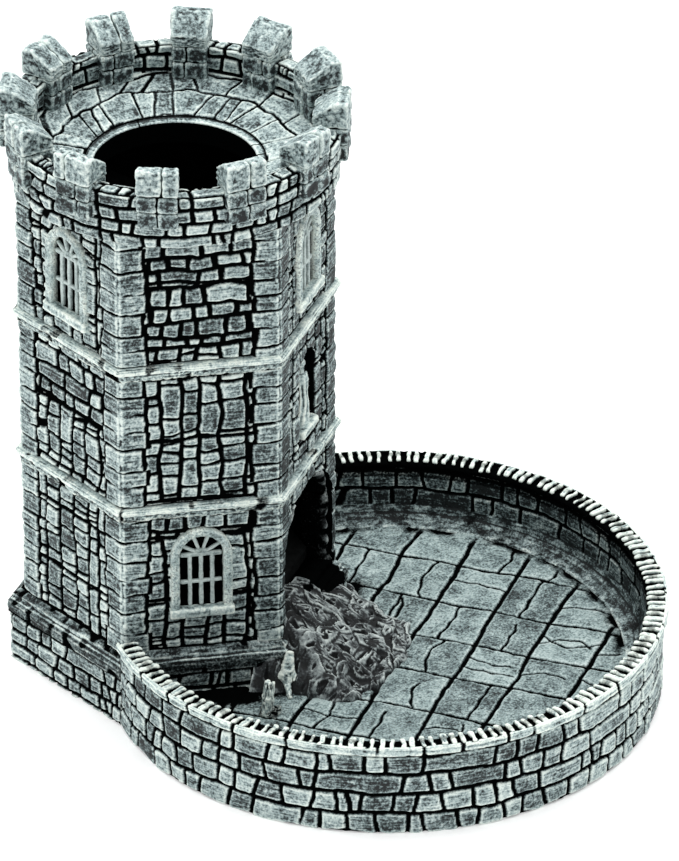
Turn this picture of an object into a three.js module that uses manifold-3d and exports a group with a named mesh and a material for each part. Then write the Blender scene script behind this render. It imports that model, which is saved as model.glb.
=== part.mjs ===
// A castle dice tower with a round catch tray.
//
// Units are millimetres and +Z is up. Dice dropped into the hole in the crown fall
// over two baffles, leave through the arch along +X and stop in the round tray.
// The tower is a hexagonal prism with flat faces at 0, 60, 120 ... degrees about its axis.

import * as THREE from 'three';
import { ConvexGeometry } from 'three/addons/geometries/ConvexGeometry.js';
import { mergeVertices } from 'three/addons/utils/BufferGeometryUtils.js';
import Module from 'manifold-3d';

const wasm = await Module();
wasm.setup();

// Overall layout
const TOWER_X = -49.42;
const TRAY_X = 16.18;
const GAP = 0.3;
const HEX_SIDES = 6;
const FACE_ANGLES = [0, 60, 120, 180, 240, 300];
const APOTHEM = Math.cos(Math.PI / HEX_SIDES);

// Tower walls: each storey is a hexagonal tube given by its corner radius
const SHAFT_R = 39;
const PLINTH_R = 51.15;
const PLINTH_TOP = 23.7;
const STOREYS = {
  lower: { r: 47.4, z0: 24, z1: 68.7 },
  middle: { r: 47.4, z0: 73.7, z1: 116.3 },
  upper: { r: 47.5, z0: 121.5, z1: 163.2 },
};
const COURSES = {
  lower: { r: 49.4, z0: 69, z1: 73.4 },
  upper: { r: 49.4, z0: 116.6, z1: 121.2 },
};
const QUOIN_WIDTH = 8;
const QUOIN_PITCH = 4.3;
const PANEL_DEPTH = 0.6;
const JOINT_DEPTH = 0.45;
const JOINT_HEIGHT = 0.5;

// Windows: arched frame with bars, alternating between the lower and the upper storey
const WINDOW_WIDTH = 18.4;
const WINDOW_HEIGHT = 30;
const WINDOW_OPENING = 13;
const WINDOW_RECESS = 2.4;
const WINDOWS = [
  { name: 'lower_front', angle: -60, storey: 'lower', sill: 34.6 },
  { name: 'lower_back', angle: 60, storey: 'lower', sill: 34.6 },
  { name: 'lower_rear', angle: 180, storey: 'lower', sill: 34.6 },
  { name: 'upper_exit', angle: 0, storey: 'upper', sill: 127.4 },
  { name: 'upper_front', angle: -120, storey: 'upper', sill: 127.4 },
  { name: 'upper_back', angle: 120, storey: 'upper', sill: 127.4 },
];

// Statue niche in the middle storey, above the exit
const NICHE = { halfWidth: 6.6, z0: 82, z1: 110, depth: 4 };

// Exit arch in the face at 0 degrees
const EXIT_HALF_WIDTH = 21.3;
const EXIT_LIP = 29;
const EXIT_SPRING = 49;
const EXIT_TOP = 65.2;
const EXIT_LINING = 2;

// Crown
const PARAPET = { z0: 163.5, z1: 180.6, bottomR: 48.4, topR: 49.7, innerR: 43.4 };
const HOLE_R = 24;
const DECK_LIP_Z = 165.6;
const DECK_RIM_Z = 172;
const CROWN_SEGMENTS = 60;
const MERLON_COUNT = 12;
const MERLON_WIDTH = 11.7;
const MERLON_OUTER_R = 51.3;
const MERLON_INNER_R = 40.3;
const MERLON_TOP = 190;

// Tray
const TRAY_OUTER_R = 84.3;
const TRAY_INNER_R = 77.5;
const TRAY_WALL_R = 82.9;
const TRAY_WALL_TOP = 27.4;
const TRAY_TOP = 30.8;
const TRAY_FLOOR_Z = 10;
const TRAY_SEGMENTS = 80;
const SLAT_COUNT = 172;
const SLAT_WIDTH = 1.7;
const FLAG_PITCH_X = 18.3;
const FLAG_PITCH_Y = 19.7;
const FLAG_ORIGIN_X = TOWER_X + 52.1;
const FLAG_ORIGIN_Y = -6.3;

// Colours of the painted cast stone
const STONE = 0x9aa8a6;
const STONE_DARK = 0x5d6866;
const STONE_PALE = 0xd2d9d2;
const SHADOW = 0x1a1d1d;

// ---------------------------------------------------------------- solids

// Turns a three.js geometry into a closed solid with its faces pointing out.
function solid(geometry) {
  geometry.deleteAttribute('normal');
  geometry.deleteAttribute('uv');
  const merged = mergeVertices(geometry, 1e-4);
  const position = merged.attributes.position.array;
  const index = merged.index.array;
  const triangles = [];
  for (let i = 0; i < index.length; i += 3) {
    const [a, b, c] = [index[i], index[i + 1], index[i + 2]];
    if (a !== b && b !== c && a !== c) triangles.push([a, b, c]);
  }
  if (signedVolume(position, triangles) < 0) triangles.forEach((t) => t.reverse());
  return new wasm.Manifold(
    new wasm.Mesh({
      numProp: 3,
      vertProperties: Float32Array.from(position),
      triVerts: Uint32Array.from(triangles.flat()),
    }),
  );
}

function signedVolume(position, triangles) {
  const corner = (i) => new THREE.Vector3().fromArray(position, 3 * i);
  let sum = 0;
  for (const [a, b, c] of triangles) {
    sum += corner(a).dot(corner(b).cross(corner(c)));
  }
  return sum / 6;
}

function toGeometry(body) {
  const mesh = body.getMesh();
  const geometry = new THREE.BufferGeometry();
  geometry.setAttribute('position', new THREE.BufferAttribute(mesh.vertProperties, 3));
  geometry.setIndex(new THREE.BufferAttribute(mesh.triVerts, 1));
  geometry.computeVertexNormals();
  return geometry;
}

function joinAll(bodies) {
  return bodies.reduce((sum, body) => sum.add(body));
}

// Drops the loose splinters that a cut can leave beside a stone.
function largestPiece(body) {
  return body.decompose().reduce((best, piece) => (piece.volume() > best.volume() ? piece : best));
}

function cutAll(body, tools) {
  return tools.reduce((rest, tool) => rest.subtract(tool), body);
}

// A profile of [radius, z] pairs turned about the Z axis. Six sides give the tower's
// hexagonal courses, with a corner at -90 degrees.
function turned(profile, sides) {
  const points = profile.map(([r, z]) => new THREE.Vector2(r, z));
  const geometry = new THREE.LatheGeometry(points, sides);
  geometry.rotateX(Math.PI / 2);
  return solid(geometry);
}

function ring(outer, inner, z0, z1, sides) {
  return turned([[inner, z0], [outer, z0], [outer, z1], [inner, z1], [inner, z0]], sides);
}

function disc(radius, z0, z1, sides) {
  return turned([[0, z0], [radius, z0], [radius, z1], [0, z1]], sides);
}

function block(x0, x1, y0, y1, z0, z1) {
  const geometry = new THREE.BoxGeometry(x1 - x0, y1 - y0, z1 - z0);
  geometry.translate((x0 + x1) / 2, (y0 + y1) / 2, (z0 + z1) / 2);
  return solid(geometry);
}

// A [y, z] outline extruded from x0 to x1, such as anything set into a wall face.
function wallShape(outline, x0, x1) {
  const shape = new THREE.Shape(outline.map(([y, z]) => new THREE.Vector2(y, z)));
  const geometry = new THREE.ExtrudeGeometry(shape, { depth: x1 - x0, bevelEnabled: false });
  const axes = new THREE.Matrix4().makeBasis(
    new THREE.Vector3(0, 1, 0),
    new THREE.Vector3(0, 0, 1),
    new THREE.Vector3(1, 0, 0),
  );
  geometry.applyMatrix4(axes);
  geometry.translate(x0, 0, 0);
  return solid(geometry);
}

// An [x, z] outline extruded from y0 to y1, such as a radial section.
function radialShape(outline, y0, y1) {
  const shape = new THREE.Shape(outline.map(([x, z]) => new THREE.Vector2(x, z)));
  const geometry = new THREE.ExtrudeGeometry(shape, { depth: y1 - y0, bevelEnabled: false });
  const axes = new THREE.Matrix4().makeBasis(
    new THREE.Vector3(1, 0, 0),
    new THREE.Vector3(0, 0, 1),
    new THREE.Vector3(0, -1, 0),
  );
  geometry.applyMatrix4(axes);
  geometry.translate(0, y1, 0);
  return solid(geometry);
}

function onTower(body, angle = 0) {
  return body.rotate([0, 0, angle]).translate([TOWER_X, 0, 0]);
}

function atTray(body) {
  return body.translate([TRAY_X, 0, 0]);
}

// Repeatable numbers between -1 and 1 for the irregular stones.
function makeRandom(seed) {
  let state = seed;
  return () => {
    state = (state * 16807) % 2147483647;
    return (state / 2147483647) * 2 - 1;
  };
}

// A rough stone: a faceted ball squashed to the given half sizes with jittered corners.
function boulder(random, halfSizes, centre) {
  const geometry = mergeVertices(positionsOnly(new THREE.IcosahedronGeometry(1, 0)), 1e-3);
  const position = geometry.attributes.position;
  for (let i = 0; i < position.count; i += 1) {
    const stretch = 1 + 0.14 * random();
    position.setXYZ(
      i,
      position.getX(i) * stretch,
      position.getY(i) * stretch,
      position.getZ(i) * stretch,
    );
  }
  geometry.rotateZ(Math.PI * random());
  geometry.scale(...halfSizes);
  geometry.rotateX(0.3 * random());
  geometry.translate(...centre);
  return solid(geometry);
}

function positionsOnly(geometry) {
  geometry.deleteAttribute('normal');
  geometry.deleteAttribute('uv');
  return geometry;
}

// ---------------------------------------------------------------- outlines

// An arch standing on z0: straight sides up to the spring line, then half an ellipse.
function archOutline(halfWidth, z0, spring, top, steps = 14) {
  const outline = [[-halfWidth, z0], [halfWidth, z0]];
  for (let i = 0; i <= steps; i += 1) {
    const a = (Math.PI * i) / steps;
    outline.push([halfWidth * Math.cos(a), spring + (top - spring) * Math.sin(a)]);
  }
  return outline;
}

function windowArch(halfWidth, sill, inset) {
  const top = sill + WINDOW_HEIGHT - inset;
  return archOutline(halfWidth, sill + 3, top - halfWidth, top);
}

// ---------------------------------------------------------------- tower

function makePlinth() {
  const profile = [
    [0, 0],
    [PLINTH_R - 0.4, 0],
    [PLINTH_R - 0.4, 16.2],
    [PLINTH_R, 16.8],
    [PLINTH_R, 19.8],
    [PLINTH_R - 1.1, 20.7],
    [PLINTH_R - 1.8, 20.9],
    [PLINTH_R - 1.9, 22],
    [PLINTH_R - 3.4, PLINTH_TOP],
    [0, PLINTH_TOP],
  ];
  const grooves = [5.4, 10.9].map((z) => (
    ring(PLINTH_R + 2, PLINTH_R - 0.4 - JOINT_DEPTH, z, z + JOINT_HEIGHT, HEX_SIDES)
  ));
  return onTower(cutAll(turned(profile, HEX_SIDES), grooves));
}

// The corner blocks stand proud of the rubble panels between them.
function makeStoreyWall(storey) {
  const { r, z0, z1 } = storey;
  const tube = ring(r, SHAFT_R, z0, z1, HEX_SIDES);
  const joints = [];
  for (let z = z0 + QUOIN_PITCH; z < z1 - 1; z += QUOIN_PITCH) {
    joints.push(ring(r + 2, r - JOINT_DEPTH, z, z + JOINT_HEIGHT, HEX_SIDES));
  }
  const halfPanel = r / 2 - QUOIN_WIDTH;
  const face = r * APOTHEM;
  const panels = FACE_ANGLES.map((angle) => (
    block(face - PANEL_DEPTH, face + 3, -halfPanel, halfPanel, z0 - 1, z1 + 1)
      .rotate([0, 0, angle])
  ));
  return cutAll(cutAll(tube, joints), panels);
}

function windowRecess(window) {
  const face = STOREYS[window.storey].r * APOTHEM;
  const outline = windowArch(WINDOW_OPENING / 2, window.sill, 3);
  return wallShape(outline, face - PANEL_DEPTH - WINDOW_RECESS, face + 3)
    .rotate([0, 0, window.angle]);
}

function exitCut() {
  return wallShape(archOutline(EXIT_HALF_WIDTH, EXIT_LIP, EXIT_SPRING, EXIT_TOP), 22, 60);
}

function makeStorey(name) {
  const recesses = WINDOWS.filter((window) => window.storey === name).map(windowRecess);
  const openings = { lower: [exitCut()], middle: [nicheRecess()], upper: [] };
  const wall = makeStoreyWall(STOREYS[name]);
  return onTower(cutAll(cutAll(wall, recesses), openings[name]));
}

function makeCourse(name) {
  const { r, z0, z1 } = COURSES[name];
  const profile = [
    [SHAFT_R, z0],
    [r - 1.8, z0],
    [r - 0.3, z0 + 0.8],
    [r, z0 + 1.7],
    [r, z1 - 1.4],
    [r - 0.5, z1 - 0.5],
    [r - 1.5, z1],
    [SHAFT_R, z1],
    [SHAFT_R, z0],
  ];
  return onTower(turned(profile, HEX_SIDES));
}

// ---------------------------------------------------------------- windows

function makeWindowFrame(window) {
  const base = STOREYS[window.storey].r * APOTHEM - PANEL_DEPTH + GAP;
  const outside = wallShape(windowArch(WINDOW_WIDTH / 2, window.sill, 0), base, base + 1.5);
  const opening = wallShape(windowArch(WINDOW_OPENING / 2, window.sill, 3), base - 1, base + 4);
  const sill = block(base, base + 2.3, -10, 10, window.sill, window.sill + 3.2);
  return onTower(outside.subtract(opening).add(sill), window.angle);
}

function makeWindowGrille(window) {
  const base = STOREYS[window.storey].r * APOTHEM - PANEL_DEPTH;
  const floor = window.sill + 3.2 + GAP;
  const halfWidth = WINDOW_OPENING / 2 - GAP;
  const top = window.sill + WINDOW_HEIGHT - 3 - GAP;
  const spring = top - halfWidth;
  const back = base - WINDOW_RECESS + GAP;
  const bars = [block(back, base - 0.2, -halfWidth, halfWidth, spring - 1.2, spring)];
  bars.push(block(back, base - 0.3, -halfWidth + 0.2, halfWidth - 0.2, floor + 9.4, floor + 10.5));
  for (const y of [-3.3, 0, 3.3]) {
    bars.push(block(back, base - 0.2, y - 0.6, y + 0.6, floor, spring));
  }
  for (const lean of [-54, -18, 18, 54]) {
    const ray = block(back, base - 0.2, -0.55, 0.55, -0.6, halfWidth - 0.6);
    bars.push(ray.rotate([lean, 0, 0]).translate([0, 0, spring]));
  }
  return onTower(joinAll(bars), window.angle);
}

// ---------------------------------------------------------------- exit

function makeExitArch() {
  const outer = archOutline(
    EXIT_HALF_WIDTH - GAP, EXIT_LIP + GAP, EXIT_SPRING, EXIT_TOP - GAP,
  );
  const random = makeRandom(41);
  const inner = archOutline(
    EXIT_HALF_WIDTH - EXIT_LINING, EXIT_LIP - 1, EXIT_SPRING, EXIT_TOP - EXIT_LINING, 22,
  ).map(([y, z]) => [y + 0.45 * random(), z + 0.45 * random()]);
  const lining = wallShape(outer, 31.5, 42).subtract(wallShape(inner, 20, 60));
  const shaft = disc(SHAFT_R + GAP, 0, 100, HEX_SIDES);
  return onTower(lining.subtract(shaft));
}

function makeExitRamp() {
  const slope = radialShape([[-50, 10], [50, 10], [50, 22], [33.3, 29.2], [-50, 69.4]], -50, 50);
  return onTower(disc(SHAFT_R - 0.4, PLINTH_TOP + GAP, 100, HEX_SIDES).intersect(slope));
}

// A sloping shelf fixed to one side of the shaft that turns the falling dice over.
function makeBaffle(highZ, direction) {
  const section = [[34, highZ], [34, highZ - 4.5], [-8, highZ - 32.5], [-8, highZ - 28]];
  const shelf = radialShape(section, -50, 50);
  const body = disc(SHAFT_R - 0.4, highZ - 60, highZ + 20, HEX_SIDES).intersect(shelf);
  return onTower(body, direction);
}

// ---------------------------------------------------------------- crown

function makeParapet() {
  const { z0, z1, bottomR, topR, innerR } = PARAPET;
  const profile = [
    [41, z0],
    [bottomR, z0],
    [bottomR + 0.2, z0 + 4],
    [topR - 0.4, z1 - 6],
    [topR, z1 - 1],
    [topR - 0.5, z1 - 0.2],
    [innerR + 0.4, z1],
    [innerR, z1 - 0.5],
    [innerR, DECK_LIP_Z - 1.6],
    [41, DECK_LIP_Z - 1.6],
    [41, z0],
  ];
  const courses = [168, 172.4, 176.6].map((z) => (
    ring(60, topR - 1, z, z + JOINT_HEIGHT, CROWN_SEGMENTS)
  ));
  return onTower(cutAll(turned(profile, CROWN_SEGMENTS), courses));
}

// The deck falls towards the hole like a shallow funnel and reaches down into the shaft.
function makeDeck() {
  const rim = PARAPET.innerR - GAP;
  const plug = SHAFT_R * APOTHEM - 0.5;
  const profile = [
    [HOLE_R, 158.5],
    [plug, 158.5],
    [plug, DECK_LIP_Z - 1.3],
    [rim, DECK_LIP_Z - 1.3],
    [rim, DECK_RIM_Z],
    [HOLE_R + 2.2, DECK_LIP_Z + 0.5],
    [HOLE_R + 2, DECK_LIP_Z],
    [HOLE_R + 0.3, DECK_LIP_Z],
    [HOLE_R, DECK_LIP_Z - 0.4],
    [HOLE_R, 158.5],
  ];
  return onTower(turned(profile, CROWN_SEGMENTS));
}

// Each merlon sits astride the parapet: a thin leg outside, a thicker one on the deck.
function makeMerlon(angle) {
  const section = [
    [MERLON_INNER_R, DECK_RIM_Z + 0.4],
    [PARAPET.innerR + 1, DECK_RIM_Z + 0.4],
    [PARAPET.innerR + 1, 171],
    [MERLON_OUTER_R, 171],
    [MERLON_OUTER_R, MERLON_TOP - 1],
    [MERLON_OUTER_R - 0.8, MERLON_TOP - 0.2],
    [MERLON_OUTER_R - 2.4, MERLON_TOP],
    [46, MERLON_TOP - 1.1],
    [42.2, MERLON_TOP - 3.2],
    [MERLON_INNER_R, MERLON_TOP - 5.4],
  ];
  const half = MERLON_WIDTH / 2;
  const { topR, innerR, z1 } = PARAPET;
  const saddle = ring(topR + GAP, innerR - GAP, 150, z1 + GAP, CROWN_SEGMENTS);
  const joints = [];
  for (const z of [175, 179.4, 183.8]) {
    joints.push(block(MERLON_OUTER_R - 0.35, 60, -20, 20, z, z + JOINT_HEIGHT));
  }
  for (const side of [-1, 1]) {
    const flank = side * (half + 4.65);
    joints.push(block(30, 60, flank - 5, flank + 5, 183.8, 183.8 + JOINT_HEIGHT));
  }
  const body = radialShape(section, -half, half).subtract(saddle.rotate([0, 0, -angle]));
  return onTower(cutAll(body, joints), angle);
}

// ---------------------------------------------------------------- tray

// Everything the tray has to leave free: the plinth and the space behind it.
function towerClearance() {
  const tower = turned(
    [
      [0, -1],
      [PLINTH_R + 0.35, -1],
      [PLINTH_R + 0.35, 20.2],
      [PLINTH_R - 1.4, 22.4],
      [PLINTH_R - 2.9, 24.1],
      [STOREYS.lower.r + 0.4, 24.1],
      [STOREYS.lower.r + 0.4, 68],
      [0, 68],
    ],
    HEX_SIDES,
  );
  return tower.add(block(-200, -0.6, -100, 100, -1, 68)).translate([TOWER_X, 0, 0]);
}

function makeTrayFloor() {
  const slab = atTray(disc(TRAY_INNER_R - GAP, 0, TRAY_FLOOR_Z, TRAY_SEGMENTS));
  const joints = [];
  for (let i = 0; i <= 5; i += 1) {
    const x = FLAG_ORIGIN_X + FLAG_PITCH_X * i;
    const reach = Math.sqrt(Math.max(0, 71 ** 2 - (x - TRAY_X) ** 2));
    joints.push(block(x - 0.4, x + 0.4, -reach, reach, TRAY_FLOOR_Z - 0.5, TRAY_FLOOR_Z + 1));
  }
  for (let j = -3; j <= 3; j += 1) {
    const y = FLAG_ORIGIN_Y + FLAG_PITCH_Y * j;
    const reach = Math.sqrt(Math.max(0, 71 ** 2 - y ** 2));
    const start = Math.max(TRAY_X - reach, TOWER_X + 47);
    joints.push(
      block(start, TRAY_X + reach, y - 0.3, y + 0.3, TRAY_FLOOR_Z - 0.5, TRAY_FLOOR_Z + 1),
    );
  }
  return cutAll(slab, joints).subtract(towerClearance());
}

function makeTrayWall() {
  const profile = [
    [TRAY_INNER_R + 0.2, 0],
    [TRAY_WALL_R, 0],
    [TRAY_WALL_R + 0.4, TRAY_WALL_TOP],
    [TRAY_INNER_R + 0.5, TRAY_WALL_TOP],
    [TRAY_INNER_R + 0.5, TRAY_FLOOR_Z + 3],
    [TRAY_INNER_R, TRAY_FLOOR_Z + 1.4],
    [TRAY_INNER_R - 2.4, TRAY_FLOOR_Z + GAP],
    [TRAY_INNER_R + 0.2, TRAY_FLOOR_Z + GAP],
    [TRAY_INNER_R + 0.2, 0],
  ];
  const courses = [6.4, 13.3, 20.2].map((z) => (
    ring(TRAY_WALL_R + 4, TRAY_WALL_R - JOINT_DEPTH, z, z + JOINT_HEIGHT, TRAY_SEGMENTS)
  ));
  const wall = cutAll(turned(profile, TRAY_SEGMENTS), courses);
  return atTray(wall).subtract(towerClearance());
}

// Narrow slats laid across the top of the wall like the rungs of a track.
function makeTrayCoping() {
  const bed = ring(TRAY_OUTER_R, TRAY_INNER_R, TRAY_WALL_TOP + GAP, TRAY_TOP - 1.1, TRAY_SEGMENTS);
  const slats = [];
  for (let i = 0; i < SLAT_COUNT; i += 1) {
    const angle = (360 * i) / SLAT_COUNT;
    const half = SLAT_WIDTH / 2;
    const slat = block(TRAY_INNER_R, TRAY_OUTER_R - 0.25, -half, half, TRAY_TOP - 2, TRAY_TOP);
    const behindTower = Math.abs(angle - 180) < 32;
    if (!behindTower) slats.push(slat.rotate([0, 0, angle]));
  }
  return atTray(joinAll([bed, ...slats])).subtract(towerClearance());
}

// ---------------------------------------------------------------- rubble

// Broken stone spills from the arch and fans out over the flagstones. It lies deepest against the
// arch's near side. Outline points are [x, y] from the tower's axis.
const SPILL_OUTLINE = [
  [36, -34],
  [46, -31.5],
  [57, -32.5],
  [66, -30.5],
  [71, -21],
  [72, -11],
  [71.2, 0],
  [70, 9],
  [67.5, 17.5],
  [58, 20.5],
  [49, 24.5],
  [42, 33],
  [36, 35],
];
const SPILL_HEEL = 37;
const SPILL_REACH = 34;

// Depth of the spill over the floor along the tower's wall.
function spillDepth(y) {
  const far = Math.max(17 - 0.45 * Math.max(y + 5, 0), 0);
  return y < -24 ? far * 0.6 : far;
}

function makeRubbleApron() {
  const random = makeRandom(7);
  const shape = new THREE.Shape(SPILL_OUTLINE.map(([x, y]) => new THREE.Vector2(x, y)));
  const bed = new THREE.ExtrudeGeometry(shape, { depth: 6, bevelEnabled: false });
  bed.translate(0, 0, TRAY_FLOOR_Z - 4);
  const stones = [solid(bed), solid(heapGeometry())];
  for (let row = 0; row < 6; row += 1) {
    const forward = (row + 0.4) / 6;
    const count = 6 + row;
    const low = -29;
    const high = THREE.MathUtils.lerp(33, 17, Math.min(1.6 * forward, 1));
    for (let i = 0; i < count; i += 1) {
      const x = SPILL_HEEL + SPILL_REACH * forward + 0.9 * random();
      const y = low + ((high - low) * (i + 0.5)) / count + 0.9 * random();
      const size = 4.4 + 0.7 * random();
      const top = TRAY_FLOOR_Z + 1.6 + spillDepth(y) * Math.pow(1 - forward, 1.2);
      stones.push(boulder(random, [size, size * 0.85, 4.6], [x, y, top - 3.4]));
    }
  }
  const floorCut = block(-100, 200, -100, 100, -30, TRAY_FLOOR_Z + GAP);
  const spill = joinAll(stones).translate([TOWER_X, 0, 0]);
  return largestPiece(spill.subtract(floorCut).subtract(towerClearance()));
}

// The core of the spill: a wedge between its crest at the wall and its toe.
function heapGeometry() {
  const points = [-33, -22, -8, 8, 20, 32].map(
    (y) => new THREE.Vector3(SPILL_HEEL, y, TRAY_FLOOR_Z + spillDepth(y)),
  );
  for (const [x, y] of SPILL_OUTLINE) {
    const toe = new THREE.Vector3(x, y, TRAY_FLOOR_Z - 4);
    points.push(toe, toe.clone().setZ(TRAY_FLOOR_Z + 0.6));
  }
  return new ConvexGeometry(points);
}

function makeStandingStone() {
  const random = makeRandom(19);
  const body = boulder(random, [1.8, 2, 6.6], [TOWER_X + 44.4, -44.4, TRAY_FLOOR_Z + 5]);
  const foot = boulder(random, [2.4, 2.6, 2], [TOWER_X + 44.5, -44.2, TRAY_FLOOR_Z + 1]);
  const floorCut = block(-100, 200, -100, 100, -30, TRAY_FLOOR_Z + GAP);
  return largestPiece(body.add(foot).subtract(floorCut).subtract(towerClearance()));
}

// ---------------------------------------------------------------- niche

// A shallow arched niche above the exit, with a weathered hooded statue on a ledge.
function nicheRecess() {
  const face = STOREYS.middle.r * APOTHEM - PANEL_DEPTH;
  const outline = archOutline(NICHE.halfWidth, NICHE.z0, NICHE.z1 - NICHE.halfWidth, NICHE.z1);
  return wallShape(outline, face - NICHE.depth, face + 3);
}

function makeNicheStatue() {
  const face = STOREYS.middle.r * APOTHEM - PANEL_DEPTH;
  const back = face - NICHE.depth + GAP;
  const ledgeTop = NICHE.z0 + 2.4;
  const halfWidth = NICHE.halfWidth - GAP;
  const ledge = block(back, face + 1.6, -halfWidth, halfWidth, NICHE.z0 + GAP, ledgeTop);
  const robe = [
    [0, ledgeTop - 0.5],
    [3.5, ledgeTop - 0.5],
    [3.1, ledgeTop + 5],
    [2.4, ledgeTop + 11],
    [3, ledgeTop + 15],
    [2.6, ledgeTop + 16.6],
    [1.3, ledgeTop + 17.8],
    [1.8, ledgeTop + 19.4],
    [1.5, ledgeTop + 21.2],
    [0, ledgeTop + 22.2],
  ];
  const statue = turned(robe, 16).scale([0.52, 1, 1]).translate([face - 1.7, 0, 0]);
  return onTower(ledge.add(statue));
}

// ---------------------------------------------------------------- assembly

function part(name, body, color, roughness = 0.85) {
  const material = new THREE.MeshStandardMaterial({ name, color, roughness, metalness: 0 });
  const mesh = new THREE.Mesh(toGeometry(body), material);
  mesh.name = name;
  return mesh;
}

function makeTower() {
  return [
    part('plinth', makePlinth(), STONE),
    part('wall_lower', makeStorey('lower'), STONE),
    part('course_lower', makeCourse('lower'), STONE_PALE),
    part('wall_middle', makeStorey('middle'), STONE),
    part('course_upper', makeCourse('upper'), STONE_PALE),
    part('wall_upper', makeStorey('upper'), STONE),
    part('niche_statue', makeNicheStatue(), STONE_DARK),
    part('exit_arch', makeExitArch(), STONE_DARK),
    part('exit_ramp', makeExitRamp(), SHADOW),
    part('baffle_lower', makeBaffle(101, 0), SHADOW),
    part('baffle_upper', makeBaffle(149, 180), SHADOW),
  ];
}

function makeCrown() {
  const meshes = [part('parapet', makeParapet(), STONE), part('crown_deck', makeDeck(), STONE)];
  for (let i = 0; i < MERLON_COUNT; i += 1) {
    const number = String(i + 1).padStart(2, '0');
    const angle = 15 + (360 / MERLON_COUNT) * i;
    meshes.push(part(`merlon_${number}`, makeMerlon(angle), STONE));
  }
  return meshes;
}

function makeWindows() {
  return WINDOWS.flatMap((window) => [
    part(`window_frame_${window.name}`, makeWindowFrame(window), STONE_PALE),
    part(`window_grille_${window.name}`, makeWindowGrille(window), STONE_DARK),
  ]);
}

function makeTray() {
  return [
    part('tray_floor', makeTrayFloor(), STONE),
    part('tray_wall', makeTrayWall(), STONE),
    part('tray_coping', makeTrayCoping(), STONE_PALE),
    part('rubble_apron', makeRubbleApron(), STONE_DARK),
    part('standing_stone', makeStandingStone(), STONE_DARK),
  ];
}

const tower = new THREE.Group();
tower.name = 'castle_dice_tower';
tower.add(...makeTower(), ...makeWindows(), ...makeCrown(), ...makeTray());

export default tower;
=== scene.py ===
"""Looks for a castle dice tower with a round tray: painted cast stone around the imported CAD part.

Every visible surface is a dense mesh whose stones are computed here: joints, rounded stone faces,
corner blocks, flagstones and rubble are real relief. Three numbers are stored on each vertex for the
paint: wash (0 in a joint, 1 on a stone), tone (one value for each stone) and edge (how convex it is).
Lengths are in millimetres until a mesh is made. The tower stands at TOWER_X, the tray at TRAY_X.
"""

import math

import bpy
import numpy as np
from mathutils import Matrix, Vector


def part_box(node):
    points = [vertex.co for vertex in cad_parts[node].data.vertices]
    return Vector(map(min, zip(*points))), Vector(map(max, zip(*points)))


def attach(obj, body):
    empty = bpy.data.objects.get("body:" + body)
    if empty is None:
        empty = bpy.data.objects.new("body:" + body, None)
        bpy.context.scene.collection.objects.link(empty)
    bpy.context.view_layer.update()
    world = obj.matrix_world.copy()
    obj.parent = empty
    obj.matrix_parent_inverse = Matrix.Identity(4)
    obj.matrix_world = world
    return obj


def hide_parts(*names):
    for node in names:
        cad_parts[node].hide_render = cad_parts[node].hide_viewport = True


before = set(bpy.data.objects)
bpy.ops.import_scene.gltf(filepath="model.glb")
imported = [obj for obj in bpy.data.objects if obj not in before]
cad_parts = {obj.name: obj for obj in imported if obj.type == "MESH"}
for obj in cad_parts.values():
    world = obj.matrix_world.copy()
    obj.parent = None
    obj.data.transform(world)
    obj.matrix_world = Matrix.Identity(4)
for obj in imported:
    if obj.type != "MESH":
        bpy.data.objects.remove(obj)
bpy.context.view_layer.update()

MM = 0.001
HEX = 6
APOTHEM = math.cos(math.pi / HEX)


def node_box(node):
    """Lowest and highest corner of a CAD node in millimetres."""
    low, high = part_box(node)
    return np.array(low) / MM, np.array(high) / MM


def z_range(node):
    low, high = node_box(node)
    return low[2], high[2]


def corner_radius(node):
    """A hexagonal node has a corner on each side along Y."""
    low, high = node_box(node)
    return (high[1] - low[1]) / 2


TOWER_X = float(sum(b[0] for b in node_box("parapet")) / 2)
TRAY_R = float(node_box("tray_coping")[1][1])
TRAY_X = float(node_box("tray_coping")[1][0]) - TRAY_R
SHAFT_R = 39.0
EXIT_FACE = 1
THRESHOLD_HALF = 22
STEP = 0.43

# ------------------------------------------------------------------ noise and masonry


def hash01(i, j, k, seed):
    """A repeatable number from 0 to 1 for each whole-number triple."""
    i, j, k = (np.asarray(v).astype(np.int64).astype(np.uint64) for v in (i, j, k))
    h = i * np.uint64(374761393) + j * np.uint64(668265263) + k * np.uint64(2246822519)
    h = h + np.uint64(seed) * np.uint64(3266489917)
    h = (h ^ (h >> np.uint64(13))) * np.uint64(1274126177)
    h = (h ^ (h >> np.uint64(16))) * np.uint64(2654435761)
    h = h ^ (h >> np.uint64(15))
    return (h & np.uint64(0xFFFFFF)).astype(float) / 0xFFFFFF


def noise(x, y, z, scale, seed):
    """Smooth noise from -1 to 1 with bumps about scale millimetres across."""
    q = [np.asarray(v, float) / scale for v in (x, y, z)]
    q = np.broadcast_arrays(*q)
    base = [np.floor(v) for v in q]
    f = [v - b for v, b in zip(q, base)]
    f = [v * v * (3 - 2 * v) for v in f]
    total = 0.0
    for a in (0, 1):
        for b in (0, 1):
            for c in (0, 1):
                w = (f[0] if a else 1 - f[0]) * (f[1] if b else 1 - f[1]) * (f[2] if c else 1 - f[2])
                total = total + w * hash01(base[0] + a, base[1] + b, base[2] + c, seed)
    return total * 2 - 1


def fractal(x, y, z, scale, seed, octaves=3):
    return sum(noise(x, y, z, scale / 2**o, seed + o) / 2**o for o in range(octaves))


def smooth(x, low, high):
    t = np.clip((x - low) / (high - low), 0, 1)
    return t * t * (3 - 2 * t)


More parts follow.
